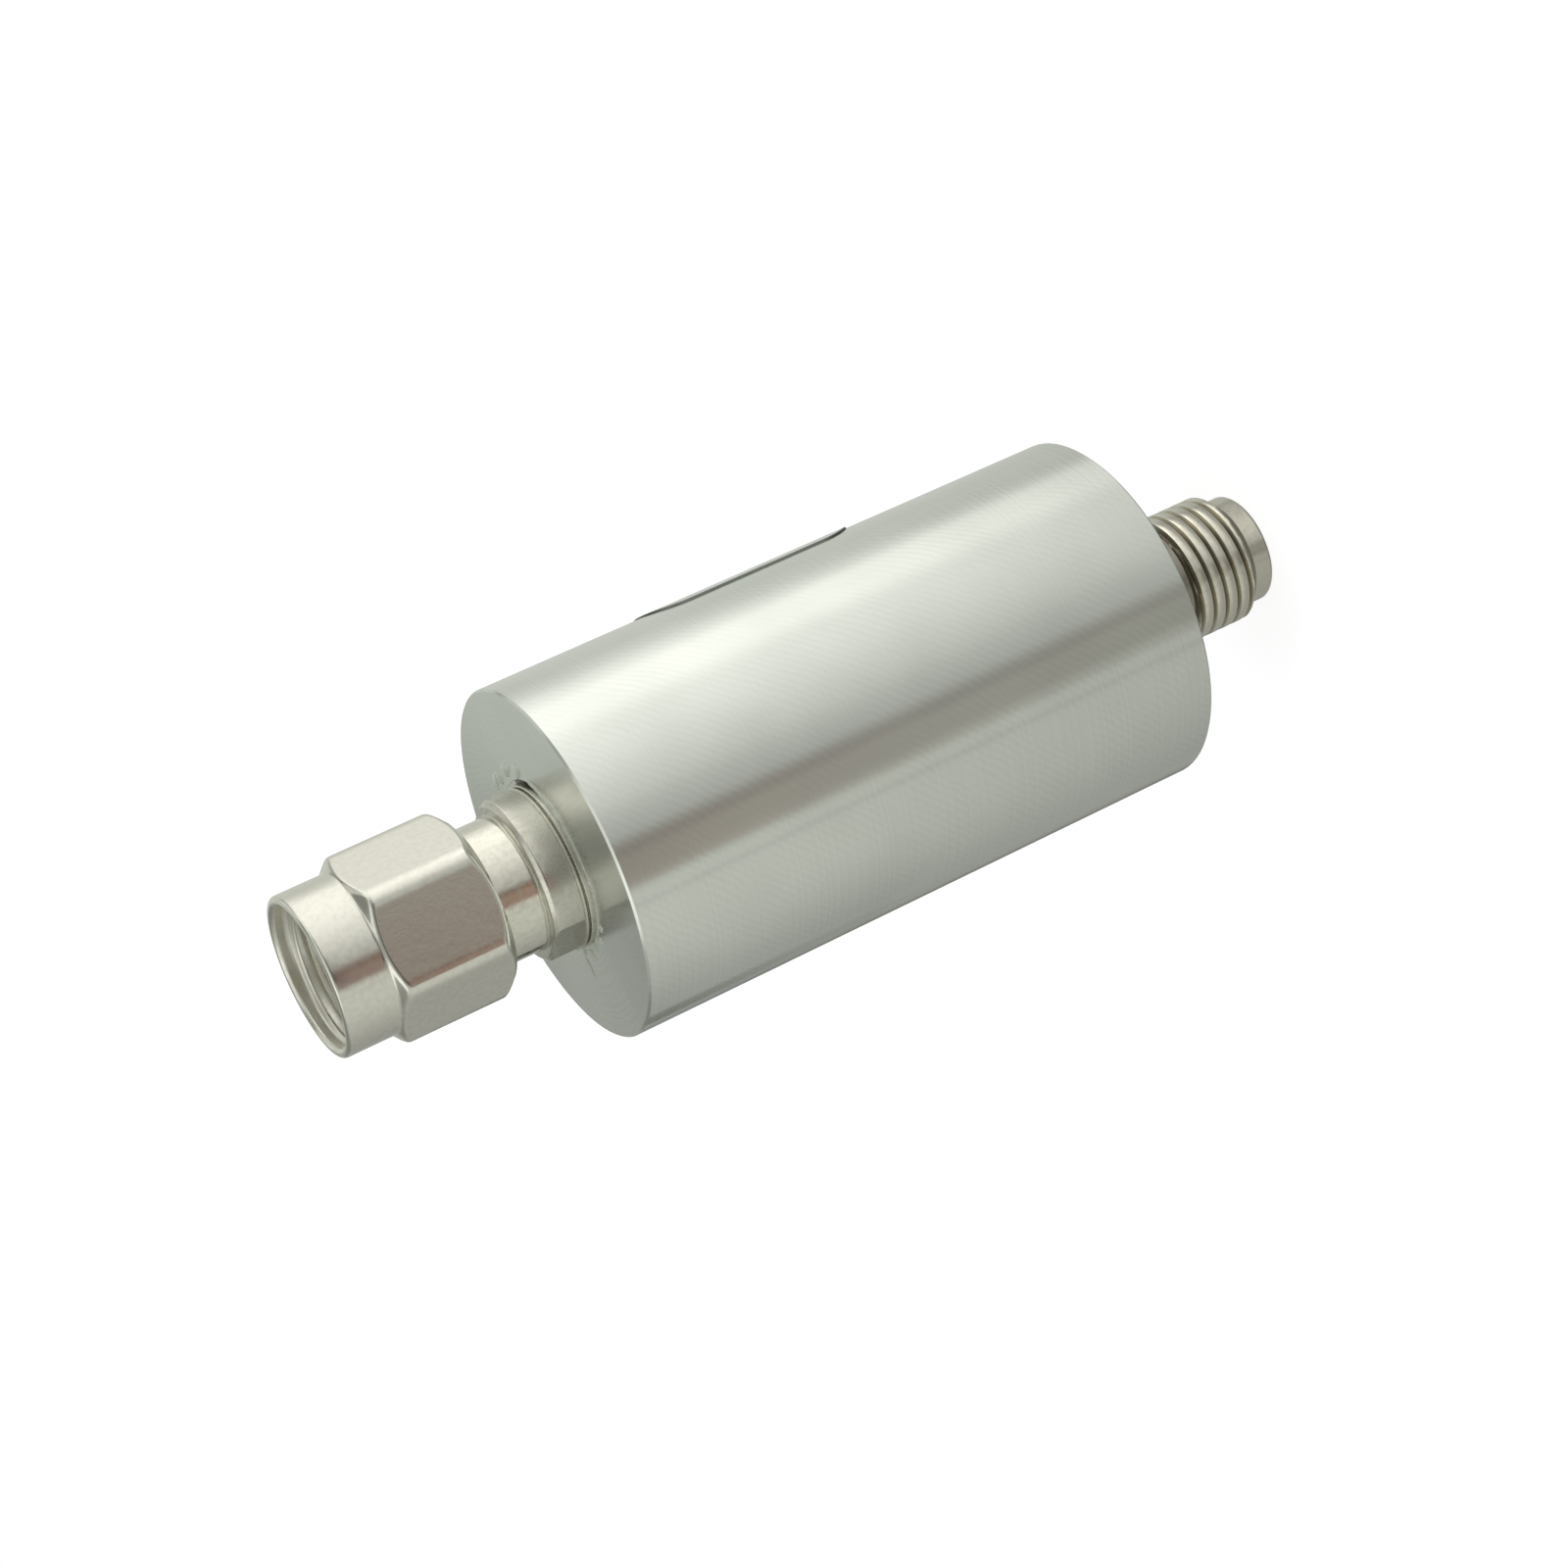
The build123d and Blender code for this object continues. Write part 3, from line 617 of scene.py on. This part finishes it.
def jack_thread_radius(ridge, height):
    """Crest and groove of the thread, run out on a cone behind the pilot and one at the undercut."""
    groove = JACK_THREAD_RADIUS - THREAD_DEPTH
    past_pilot = height - JACK_PILOT_LENGTH
    front_cone = JACK_PILOT_RADIUS + past_pilot
    back_cone = groove + RUN_OUT_SLOPE * (JACK_THREAD_LENGTH - past_pilot)
    return min(groove + THREAD_DEPTH * ridge, front_cone, back_cone)


# Painted shade: the nickel is painted darker deep in the thread's grooves behind the pilot.
nickel_with_painted_groove_shade = tumbled_metal("nickel_with_painted_groove_shade", JACK_COLOUR, JACK_STAIN, NICKEL_ROUGHNESS)
groove_shade_tree = nickel_with_painted_groove_shade.node_tree
groove_shade_surface = groove_shade_tree.nodes["Principled BSDF"]
from_axis = radius_from_axis(groove_shade_tree)
spot = spot_on_piece(groove_shade_tree)
groove_low = (JACK_THREAD_RADIUS - THREAD_DEPTH) * MM
in_groove = ramp_between(groove_shade_tree, from_axis, groove_low, JACK_THREAD_RADIUS * MM, 1.0, 0.0)
outside = ramp_between(groove_shade_tree, from_axis, JACK_MOUTH_RADIUS * MM, JACK_PILOT_RADIUS * MM)
past_pilot = ramp_between(
    groove_shade_tree, spot["Z"], JACK_PILOT_LENGTH * MM, (JACK_PILOT_LENGTH + THREAD_DEPTH) * MM
)
# Mask of the painted shade in the thread's grooves.
painted_groove_shade = calc(groove_shade_tree, "MULTIPLY", calc(groove_shade_tree, "MULTIPLY", in_groove, outside), past_pilot)
clean_colour = groove_shade_surface.inputs["Base Color"].links[0].from_socket
groove_shade_tree.links.new(
    blend_colours(groove_shade_tree, painted_groove_shade, clean_colour, GROOVE_SHADE_COLOUR), groove_shade_surface.inputs["Base Color"]
)
jack_front = [
    (LINE_BORE_RADIUS, JACK_MOUTH_DEPTH),
    (JACK_MOUTH_RADIUS, JACK_MOUTH_DEPTH),
    (JACK_MOUTH_RADIUS, JACK_MOUTH_CHAMFER),
    (JACK_MOUTH_RADIUS + JACK_MOUTH_CHAMFER, 0),
    (JACK_PILOT_RADIUS - JACK_MOUTH_CHAMFER, 0),
    (JACK_PILOT_RADIUS, JACK_MOUTH_CHAMFER),
    (JACK_PILOT_RADIUS, JACK_PILOT_LENGTH),
]
jack_rows = plain_rows(jack_front)
thread_end = JACK_PILOT_LENGTH + JACK_THREAD_LENGTH
jack_shares = (CREST_SHARE, GROOVE_SHARE)
jack_rows += thread_rows(JACK_PILOT_LENGTH, thread_end, JACK_START, jack_shares, jack_thread_radius)
undercut_radius = JACK_THREAD_RADIUS - JACK_UNDERCUT
jack_back = [(undercut_radius, thread_end), (undercut_radius, JACK_REACH - COLLAR_REACH)]
jack_rows += plain_rows(jack_back + root_corners(JACK_REACH, -1)[::-1], steps=2)
jack_rows.append(jack_rows[0])
threaded_jack = spin(
    "threaded_jack", jack_rows, nickel_with_painted_groove_shade, "housing", trim=wrench_flats(JACK_REACH, -1)
)
cross_hole(threaded_jack, JACK_REACH + LOCK_DEPTH)
smooth_over(threaded_jack, SHARP_EDGE)
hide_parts("jack_body")

# Jack contact. Beryllium copper, turned, drilled and slotted into four spring fingers, hardened and
# gold plated. It is pressed through the insulator and its waist is gripped by the lock.
gold_plate = turned_metal(
    "gold_plate", (0.86, 0.64, 0.29), 0.2, feed=0.05, ring_depth=0.0003, brushed=0.4, tone=0.03
)
finish("jack_centre_socket", gold_plate)


# Jack insulator. PTFE rod, turned and drilled, pushed into the bore. It is white, a little clear and
# waxy, with the rings of the tool on its ends.
def moulded(name, colour, stain, roughness, grain, grain_depth, metallic=0.0):
    """A plain solid finish: clouds between two colours, with a grain that bends the light."""
    return skinned(
        name, colour, stain, roughness, grain, grain_depth, metallic, clouds=(0.35, 0.65), spread=0.15
    )


ptfe = moulded("ptfe", (0.86, 0.86, 0.83), (0.80, 0.80, 0.77), 0.42, grain=0.12, grain_depth=0.002)
ptfe_surface = ptfe.node_tree.nodes["Principled BSDF"]
ptfe_surface.inputs["Subsurface Weight"].default_value = 0.35
ptfe_surface.inputs["Subsurface Radius"].default_value = (0.6, 0.6, 0.55)
ptfe_surface.inputs["Subsurface Scale"].default_value = 1 * MM
finish("jack_insulator", ptfe)

# Contact lock. Epoxy resin, cast through the tail's cross hole and the insulator into the waist of
# the contact, where it sets hard.
resin = moulded("resin", (0.30, 0.21, 0.11), (0.20, 0.13, 0.06), 0.22, grain=0.3, grain_depth=0.001)
finish("jack_contact_lock", resin)

# Flange sealant. A clear sealant run round the flange into its seat, where it has dried with small
# bubbles in it.
sealant = moulded("sealant", (0.70, 0.74, 0.64), (0.60, 0.64, 0.55), 0.2, grain=0.25, grain_depth=0.006)
sealant_surface = sealant.node_tree.nodes["Principled BSDF"]
sealant_surface.inputs["IOR"].default_value = 1.42
sealant_surface.inputs["Transmission Weight"].default_value = 0.35
finish("jack_sealant", sealant)

# Spring washer. Phosphor bronze strip, stamped and dished, between the jack's tail and the carrier,
# which it presses against the plug's tail.
spring_bronze = moulded(
    "spring_bronze", (0.72, 0.47, 0.26), (0.62, 0.38, 0.20), 0.28,
    grain=0.2, grain_depth=0.001, metallic=1.0,
)
finish("carrier_spring_washer", spring_bronze)

# Ground carrier. A brass bar, turned, split along its length and milled with a channel, then plated.
# Its two halves hold the card between them.
plated_brass = turned_metal(
    "plated_brass", (0.80, 0.75, 0.62), 0.26, feed=0.15, ring_depth=0.0006, brushed=0.5, tone=0.03
)
finish("carrier_base", plated_brass)
finish("carrier_cover", plated_brass)

# Card. A plate of fired alumina, cut to size by laser, white with a fine grain.
alumina = moulded("alumina", (0.90, 0.90, 0.87), (0.84, 0.83, 0.79), 0.55, grain=0.06, grain_depth=0.003)
finish("card_substrate", alumina)

# Conductors. Silver paste, screen printed on the card and fired, a little uneven from the screen.
silver_print = moulded(
    "silver_print", (0.80, 0.79, 0.76), (0.70, 0.69, 0.65), 0.38,
    grain=0.08, grain_depth=0.002, metallic=1.0,
)
finish("card_conductors", silver_print)

# Resistor film. Ruthenium oxide paste, screen printed between the conductors and fired to a dark
# glaze.
resistor_print = moulded(
    "resistor_print", (0.055, 0.055, 0.062), (0.09, 0.088, 0.09), 0.3, grain=0.07, grain_depth=0.0015
)
finish("resistor_film", resistor_print)

# Solder joints. A fillet of solder that has flowed from each contact's jaw on to its pad.
solder = moulded(
    "solder", (0.74, 0.74, 0.74), (0.60, 0.60, 0.61), 0.24, grain=0.3, grain_depth=0.004, metallic=1.0
)
finish("solder_joints", solder)

# Plug body. Stainless steel bar, turned in one piece: tail, flange, collar with two wrench flats, neck
# with the snap ring's groove, gasket seat and shroud. It is passivated and screws into the sleeve.
PLUG_COLOUR = (0.73, 0.72, 0.65)
PLUG_STAIN = (0.66, 0.645, 0.58)
PLUG_ROUGHNESS = 0.27
NECK_LIGHTER_GAIN = 0.14
NECK_ROUGHNESS = 0.15
NECK_RADIUS = 3.25
NECK_TIP_RADIUS = 3.05
RING_GROOVE_RADIUS = 2.9
RING_GROOVE_PLAY = 0.05
GASKET_SEAT_RADIUS = 2.475
SHROUD_RADIUS = 2.285

plug_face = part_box("housing_sleeve")[1].z / MM
ring_low, ring_high = (corner.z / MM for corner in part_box("nut_snap_ring"))
neck_tip, shroud_foot = (corner.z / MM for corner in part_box("nut_gasket"))
plug_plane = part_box("plug_insulator")[1].z / MM
plug_corners = root_corners(plug_face, 1) + [
    (NECK_RADIUS, plug_face + COLLAR_REACH),
    (NECK_RADIUS, ring_low - RING_GROOVE_PLAY),
    (RING_GROOVE_RADIUS, ring_low - RING_GROOVE_PLAY),
    (RING_GROOVE_RADIUS, ring_high + RING_GROOVE_PLAY),
    (NECK_TIP_RADIUS, ring_high + RING_GROOVE_PLAY),
    (NECK_TIP_RADIUS, neck_tip),
    (GASKET_SEAT_RADIUS, neck_tip),
    (GASKET_SEAT_RADIUS, shroud_foot),
    (SHROUD_RADIUS, shroud_foot),
    (SHROUD_RADIUS, plug_plane),
    (LINE_BORE_RADIUS, plug_plane),
]
plug_rows = plain_rows(plug_corners, steps=3)
plug_rows.append(plug_rows[0])
stainless_steel = tumbled_metal("stainless_steel", PLUG_COLOUR, PLUG_STAIN, PLUG_ROUGHNESS)
steel_tree = stainless_steel.node_tree
steel_surface = steel_tree.nodes["Principled BSDF"]
spot = spot_on_piece(steel_tree)
collar_top = plug_face + COLLAR_REACH
# Above the collar the neck is given a lighter colour and a smoother polish than the rest of the body.
on_neck = ramp_between(steel_tree, spot["Z"], collar_top * MM, (collar_top + EDGE_BREAK) * MM)
tumbled = steel_surface.inputs["Base Color"].links[0].from_socket
gain = calc(steel_tree, "MULTIPLY_ADD", on_neck, NECK_LIGHTER_GAIN, 1.0)
lighter_neck = shader_node(steel_tree, "VectorMath", {0: tumbled, "Scale": gain}, operation="SCALE")
steel_tree.links.new(lighter_neck.outputs[0], steel_surface.inputs["Base Color"])
tumbled = steel_surface.inputs["Roughness"].links[0].from_socket
tumbled = calc(steel_tree, "MULTIPLY_ADD", on_neck, NECK_ROUGHNESS - PLUG_ROUGHNESS, tumbled)
steel_tree.links.new(tumbled, steel_surface.inputs["Roughness"])
soft_edged_plug = spin(
    "soft_edged_plug", plug_rows, stainless_steel, "housing", trim=wrench_flats(plug_face, 1)
)
cross_hole(soft_edged_plug, plug_face - LOCK_DEPTH)
smooth_over(soft_edged_plug, SHARP_EDGE)
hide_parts("plug_body")

# Plug pin, insulator and lock, made and fixed as the jack's are. The pin is brass, turned to a taper
# at its tip and gold plated.
finish("plug_centre_pin", gold_plate)
finish("plug_insulator", ptfe)
finish("plug_contact_lock", resin)

# Plug sealant. It has dried in the gap round the flange, and some of it was smeared on the end face
# of the sleeve in drops and short streaks.
DROP_RISE = 0.05
DROP_CORNERS = 30
DROP_RINGS = 7
DROP_WAVES = 4
DROP_UNEVEN = 0.08
CRUMBS = 7
CRUMBS_FROM = (4.5, -14.0)
CRUMBS_TO = (5.5, 52.0)
CRUMB_SIZE = (0.2, 0.36)
SMEARS = 6
SMEAR_SIZE = (0.15, 0.26)
SMEAR_ANGLE = 184.0
SMEAR_SPREAD = 32.0
SMEAR_RADIUS = 4.2
STREAK_ANGLE = 166.0
STREAK_FROM = 4.5
STREAK_TO = 5.7
STREAK_HALF_WIDTH = 0.08
BEAD_ANGLE = -174.0
BEAD_SIZE = 0.24
BRIDGES = 9
BRIDGE_FROM = -29.0
BRIDGE_TO = -63.0
BRIDGE_SIZE = 0.16
BRIDGE_LEAD = 1.75

finish("plug_sealant", sealant)
smeared_sealant = moulded(
    "smeared_sealant", (0.43, 0.47, 0.39), (0.36, 0.40, 0.33), 0.22, grain=0.3, grain_depth=0.004
)
hand = random.Random(5)
smears = bmesh.new()


def sealant_drop(radius, angle, size, stretch, lean):
    """One dried drop on the end face: a low dome with an uneven outline, longer along its lean."""
    centre = Vector((radius * math.cos(angle), radius * math.sin(angle), plug_face))
    wobble = [hand.uniform(0.5, 1.3) for _ in range(DROP_WAVES)]
    rings = []
    for number in range(DROP_RINGS):
        swing = number / DROP_RINGS * math.pi / 2
        share = math.cos(swing)
        rise = DROP_RISE * math.sin(swing) ** 1.5 if number else -HOLDING
        ring = []
        for corner in range(DROP_CORNERS):
            bearing = 2 * math.pi * corner / DROP_CORNERS
            waves = [w * math.cos((n + 2) * bearing + 3 * w) for n, w in enumerate(wobble)]
            uneven = 1 + DROP_UNEVEN * sum(waves)
            along = Vector((math.cos(lean), math.sin(lean), 0)) * math.cos(bearing) * stretch
            side = Vector((-math.sin(lean), math.cos(lean), 0)) * math.sin(bearing)
            point = centre + (along + side) * size * uneven * share + Vector((0, 0, rise))
            ring.append(smears.verts.new(point * MM))
        rings.append(ring)
    for lower, upper in zip(rings, rings[1:]):
        for corner in range(DROP_CORNERS):
            after = (corner + 1) % DROP_CORNERS
            smears.faces.new((lower[corner], lower[after], upper[after], upper[corner]))
    smears.faces.new(rings[-1])
    smears.faces.new(rings[0][::-1])


for number in range(CRUMBS):
    share = number / (CRUMBS - 1)
    radius, angle = Vector(CRUMBS_FROM).lerp(Vector(CRUMBS_TO), share)
    angle = math.radians(angle + hand.uniform(-3, 3))
    lean = angle + math.pi / 2 + hand.uniform(-0.5, 0.5)
    sealant_drop(radius + hand.uniform(-0.12, 0.12), angle, hand.uniform(*CRUMB_SIZE), 1.4, lean)
for number in range(SMEARS):
    share = number / (SMEARS - 1) * 2 - 1
    angle = math.radians(SMEAR_ANGLE + SMEAR_SPREAD * share)
    lean = angle + math.pi / 2 + hand.uniform(-0.6, 0.6)
    sealant_drop(SMEAR_RADIUS + hand.uniform(0, 0.3), angle, hand.uniform(*SMEAR_SIZE), 1.6, lean)
streak_reach = (STREAK_TO - STREAK_FROM) / 2
streak_middle = STREAK_FROM + streak_reach
streak_stretch = streak_reach / STREAK_HALF_WIDTH
sealant_drop(streak_middle, math.radians(STREAK_ANGLE), STREAK_HALF_WIDTH, streak_stretch, math.pi)
bead_lean = math.radians(BEAD_ANGLE + 90)
sealant_drop(FLANGE_RADIUS + BEAD_SIZE / 2, math.radians(BEAD_ANGLE), BEAD_SIZE, 1.3, bead_lean)
for number in range(BRIDGES):
    share = number / (BRIDGES - 1)
    angle = math.radians(BRIDGE_FROM + (BRIDGE_TO - BRIDGE_FROM) * share)
    outward = BRIDGE_SIZE * (BRIDGE_LEAD + (0.5 - BRIDGE_LEAD) * min(2 * share, 1.0))
    sealant_drop(FLANGE_RADIUS + outward, angle, BRIDGE_SIZE, 1.8, angle + math.pi / 2)
smear_mesh = bpy.data.meshes.new("sealant_smears")
smears.to_mesh(smear_mesh)
smears.free()
smear_mesh.materials.append(smeared_sealant)
sealant_smears = place_in_scene("sealant_smears", smear_mesh)
smooth_over(sealant_smears, 60)
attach(sealant_smears, "housing")

# Snap ring. Phosphor bronze wire, rolled flat and cut, sprung into the neck's groove, where it holds
# the nut on and lets it turn.
finish("nut_snap_ring", spring_bronze)

# Gasket. A ring cut from a silicone sheet, laid on the neck's end round the foot of the shroud.
silicone = moulded("silicone", (0.62, 0.17, 0.10), (0.52, 0.13, 0.08), 0.6, grain=0.1, grain_depth=0.003)
finish("nut_gasket", silicone)

# Coupling nut. Hexagon steel bar with a turned nose, its corners turned down at both ends,
# threaded inside, nickel plated and tumbled, so that all its edges are soft.
NUT_ACROSS_FLATS = 7.94
NUT_CORNER_ROUND = 0.5
NUT_CORNER_ANGLE = -3.7
NUT_TURNED_RADIUS = 4.51
NUT_REAR_RADIUS = 3.88
NUT_REAR_TAPER = 0.42
NUT_NOSE_RADIUS = 3.88
NUT_NOSE_LENGTH = 2.55
NUT_SHOULDER_TAPER = 0.45
NUT_LIP_ROUND = 0.2
NUT_LIP_STEPS = 8
NUT_EDGE_SOFTNESS = 0.2
NUT_REAR_SOFTNESS = 0.3
NUT_SHOULDER_SOFTNESS = 0.12
NUT_REAR_ZONE = 1.1
NUT_SHOULDER_ZONE = 0.95
NUT_NOSE_FOOT = 0.15
NUT_NOSE_MARGIN = 0.02
NUT_NOSE_START = 0.1
NUT_MOUTH_CHAMFER = 0.15
NUT_MOUTH_RADIUS = 3.4
NUT_MOUTH_DEPTH = 1.25
NUT_THREAD_LENGTH = 3.45
NUT_THREAD_MAJOR = 3.2
NUT_THREAD_DEPTH = 0.33
NUT_CREST_SHARE = 0.1
NUT_GROOVE_SHARE = 0.6
NUT_LEAD_IN_DEPTH = 0.5
NUT_START = 0.78
NUT_BORE_DULLNESS = 0.2
NUT_NECK_HOLE_RADIUS = 3.35
NUT_REAR_WALL = 1.2
NUT_RING_GROOVE_RADIUS = 3.65
NUT_RING_GROOVE_WIDTH = 0.75


def softer_of(first, second, softness):
    """The smaller of two radii, with the edge where they meet rounded."""
    overlap = max(softness - abs(first - second), 0.0) / softness
    return min(first, second) - overlap * overlap * softness / 4


def hexagon_reach(angle):
    """Distance from the axis to the side of the round-cornered hexagon, at an angle."""
    from_corner = (angle - math.radians(NUT_CORNER_ANGLE) + math.pi / 6) % (math.pi / 3) - math.pi / 6
    centre = (NUT_ACROSS_FLATS / 2 - NUT_CORNER_ROUND) / math.cos(math.pi / 6)
    side_start = math.atan2(
        NUT_CORNER_ROUND * math.sin(math.pi / 6), centre + NUT_CORNER_ROUND * math.cos(math.pi / 6)
    )
    if abs(from_corner) < side_start:
        sine = centre * math.sin(from_corner)
        return centre * math.cos(from_corner) + math.sqrt(NUT_CORNER_ROUND ** 2 - sine * sine)
    return NUT_ACROSS_FLATS / 2 / math.cos(math.pi / 6 - abs(from_corner))


nut_rear, nut_mouth = (corner.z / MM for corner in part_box("coupling_nut"))
nut_shoulder = nut_mouth - NUT_NOSE_LENGTH


def nut_turned_radius(height):
    """Outside of the nut as turned, before the hexagon."""
    rear = NUT_REAR_RADIUS + (height - nut_rear) * (NUT_TURNED_RADIUS - NUT_REAR_RADIUS) / NUT_REAR_TAPER
    slope = (NUT_TURNED_RADIUS - NUT_NOSE_RADIUS) / NUT_SHOULDER_TAPER
    front = NUT_NOSE_RADIUS + (nut_shoulder - height) * slope
    body = softer_of(softer_of(NUT_TURNED_RADIUS, rear, NUT_REAR_SOFTNESS), front, NUT_EDGE_SOFTNESS)
    return -softer_of(-body, -NUT_NOSE_RADIUS, NUT_SHOULDER_SOFTNESS)


def nut_outside(angle, reach, height):
    """Cut the outside back to the hexagon where it is behind the nose."""
    if reach <= NUT_NOSE_RADIUS + NUT_NOSE_MARGIN or height > nut_shoulder + NUT_NOSE_START:
        return reach
    return softer_of(reach, hexagon_reach(angle), NUT_EDGE_SOFTNESS)


nut_thread_high = nut_mouth - NUT_MOUTH_DEPTH
nut_thread_low = nut_thread_high - NUT_THREAD_LENGTH
nut_lead_in = nut_mouth - NUT_LEAD_IN_DEPTH


def nut_thread_radius(ridge, height):
    """Inside thread, run out on a cone at its foot, its first ridge rising slowly in the mouth."""
    entry = ease((nut_lead_in - height) / (nut_lead_in - nut_thread_high))
    groove = NUT_MOUTH_RADIUS + (NUT_THREAD_MAJOR - NUT_MOUTH_RADIUS) * entry
    foot = NUT_MOUTH_RADIUS - (height - nut_thread_low)
    return max(groove - NUT_THREAD_DEPTH * ridge * math.sqrt(entry), foot)


ring_groove_low = nut_rear + NUT_REAR_WALL
ring_groove_high = ring_groove_low + NUT_RING_GROOVE_WIDTH
nut_rows = plain_rows([
    (NUT_MOUTH_RADIUS, nut_thread_low),
    (NUT_MOUTH_RADIUS, ring_groove_high),
    (NUT_RING_GROOVE_RADIUS, ring_groove_high),
    (NUT_RING_GROOVE_RADIUS, ring_groove_low),
    (NUT_NECK_HOLE_RADIUS, ring_groove_low),
    (NUT_NECK_HOLE_RADIUS, nut_rear),
    (NUT_REAR_RADIUS - EDGE_BREAK, nut_rear),
], steps=2)
for start, end, count in (
    (nut_rear, nut_rear + NUT_REAR_ZONE, 24),
    (nut_rear + NUT_REAR_ZONE, nut_shoulder - NUT_SHOULDER_ZONE, 6),
    (nut_shoulder - NUT_SHOULDER_ZONE, nut_shoulder + NUT_NOSE_FOOT, 24),
    (nut_shoulder + NUT_NOSE_FOOT, nut_mouth - NUT_LIP_ROUND, 3),
):
    heights = [start + (end - start) * step / count for step in range(count)]
    nut_rows += [(nut_turned_radius(height), height) for height in heights]
for step in range(NUT_LIP_STEPS + 1):
    swing = step / NUT_LIP_STEPS * math.pi / 2
    nut_rows.append((
        NUT_NOSE_RADIUS - NUT_LIP_ROUND * (1 - math.cos(swing)),
        nut_mouth - NUT_LIP_ROUND * (1 - math.sin(swing)),
    ))
nut_rows += plain_rows([
    nut_rows[-1],
    (NUT_MOUTH_RADIUS + NUT_MOUTH_CHAMFER, nut_mouth),
    (NUT_MOUTH_RADIUS, nut_mouth - NUT_MOUTH_CHAMFER),
    (NUT_MOUTH_RADIUS, nut_lead_in),
])[1:]
nut_rows += thread_rows(
    nut_thread_low, nut_lead_in, NUT_START, (NUT_CREST_SHARE, NUT_GROOVE_SHARE), nut_thread_radius
)[::-1]
bored_nickel = tumbled_metal("bored_nickel", NICKEL_COLOUR, NICKEL_STAIN, NICKEL_ROUGHNESS)
bored_tree = bored_nickel.node_tree
bored_surface = bored_tree.nodes["Principled BSDF"]
from_axis = radius_from_axis(bored_tree)
bore_edge = NUT_MOUTH_RADIUS * MM
inside = ramp_between(bored_tree, from_axis, bore_edge, bore_edge + NUT_MOUTH_CHAMFER * MM, 1.0, 0.0)
tumbled = bored_surface.inputs["Roughness"].links[0].from_socket
dull = calc(bored_tree, "MULTIPLY_ADD", inside, NUT_BORE_DULLNESS, tumbled)
bored_tree.links.new(dull, bored_surface.inputs["Roughness"])
soft_edged_nut = spin("soft_edged_nut", nut_rows, bored_nickel, "nut", trim=nut_outside)
smooth_over(soft_edged_nut, SHARP_EDGE)
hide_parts("coupling_nut")

# Side label. Silver film with a dark line round its edge and nothing printed on it,
# wrapped on the sleeve and held by its own adhesive.
LABEL_COLOUR = (0.86, 0.87, 0.86)
LABEL_LINE_COLOUR = (0.17, 0.19, 0.17)
LABEL_LINE_WIDTH = 0.09
LABEL_SWEEP = 80.0
LABEL_ANGLE = 26.2
LABEL_CORNER = 2.0
LABEL_OUTER_RADIUS = 8.58
LABEL_ROUGHNESS = (0.30, 0.40)
LABEL_GRAIN_SCALE = 900.0
LABEL_RIPPLE_SCALE = 260.0
LABEL_RIPPLE_DEPTH = 0.004

label_low, label_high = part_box("side_label")
label_film, film, film_surface = metal_surface("label_film")
film_surface.inputs["Metallic"].default_value = 0.9
position = shader_node(film, "TexCoord").outputs["Object"]
turn_back = shader_node(
    film, "VectorRotate", {"Vector": position, "Angle": -math.radians(LABEL_ANGLE)},
    rotation_type="Z_AXIS",
)
spot = shader_node(film, "SeparateXYZ", {"Vector": turn_back.outputs[0]})
half_width = LABEL_OUTER_RADIUS * MM * math.sin(math.radians(LABEL_SWEEP / 2))
half_height = (label_high.z - label_low.z) / 2
middle_height = (label_high.z + label_low.z) / 2
corner = LABEL_CORNER * MM
inside_x = calc(film, "SUBTRACT", calc(film, "ABSOLUTE", spot.outputs["Y"]), half_width - corner)
inside_z = calc(film, "ABSOLUTE", calc(film, "SUBTRACT", spot.outputs["Z"], middle_height))
inside_z = calc(film, "SUBTRACT", inside_z, half_height - corner)
over_x = calc(film, "MAXIMUM", inside_x, 0.0)
over_z = calc(film, "MAXIMUM", inside_z, 0.0)
beyond = shader_node(film, "CombineXYZ", {"X": over_x, "Y": over_z})
beyond = shader_node(film, "VectorMath", {0: beyond.outputs[0]}, operation="LENGTH").outputs["Value"]
inner = calc(film, "MINIMUM", calc(film, "MAXIMUM", inside_x, inside_z), 0.0)
from_edge = calc(film, "SUBTRACT", corner, calc(film, "ADD", beyond, inner))
line_edge = LABEL_LINE_WIDTH * MM
line = ramp_between(film, from_edge, line_edge * 0.9, line_edge * 1.1, 1.0, 0.0)
grain = noise(film, position, LABEL_GRAIN_SCALE, detail=3.0)
sheen = ramp_between(film, grain, 0.3, 0.7, 0.97, 1.03)
silver = shader_node(film, "VectorMath", {0: LABEL_COLOUR, "Scale": sheen}, operation="SCALE")
# The label's colour is darkened in a thin line along its edge.
edged_film = blend_colours(film, line, silver.outputs[0], LABEL_LINE_COLOUR)
film.links.new(edged_film, film_surface.inputs["Base Color"])
polish = ramp_between(film, grain, 0.3, 0.7, *LABEL_ROUGHNESS)
film.links.new(polish, film_surface.inputs["Roughness"])
ripple = noise(film, position, LABEL_RIPPLE_SCALE)
ripple = shader_node(film, "Bump", {"Height": ripple, "Distance": LABEL_RIPPLE_DEPTH * MM})
film.links.new(ripple.outputs[0], film_surface.inputs["Normal"])
finish("side_label", label_film)
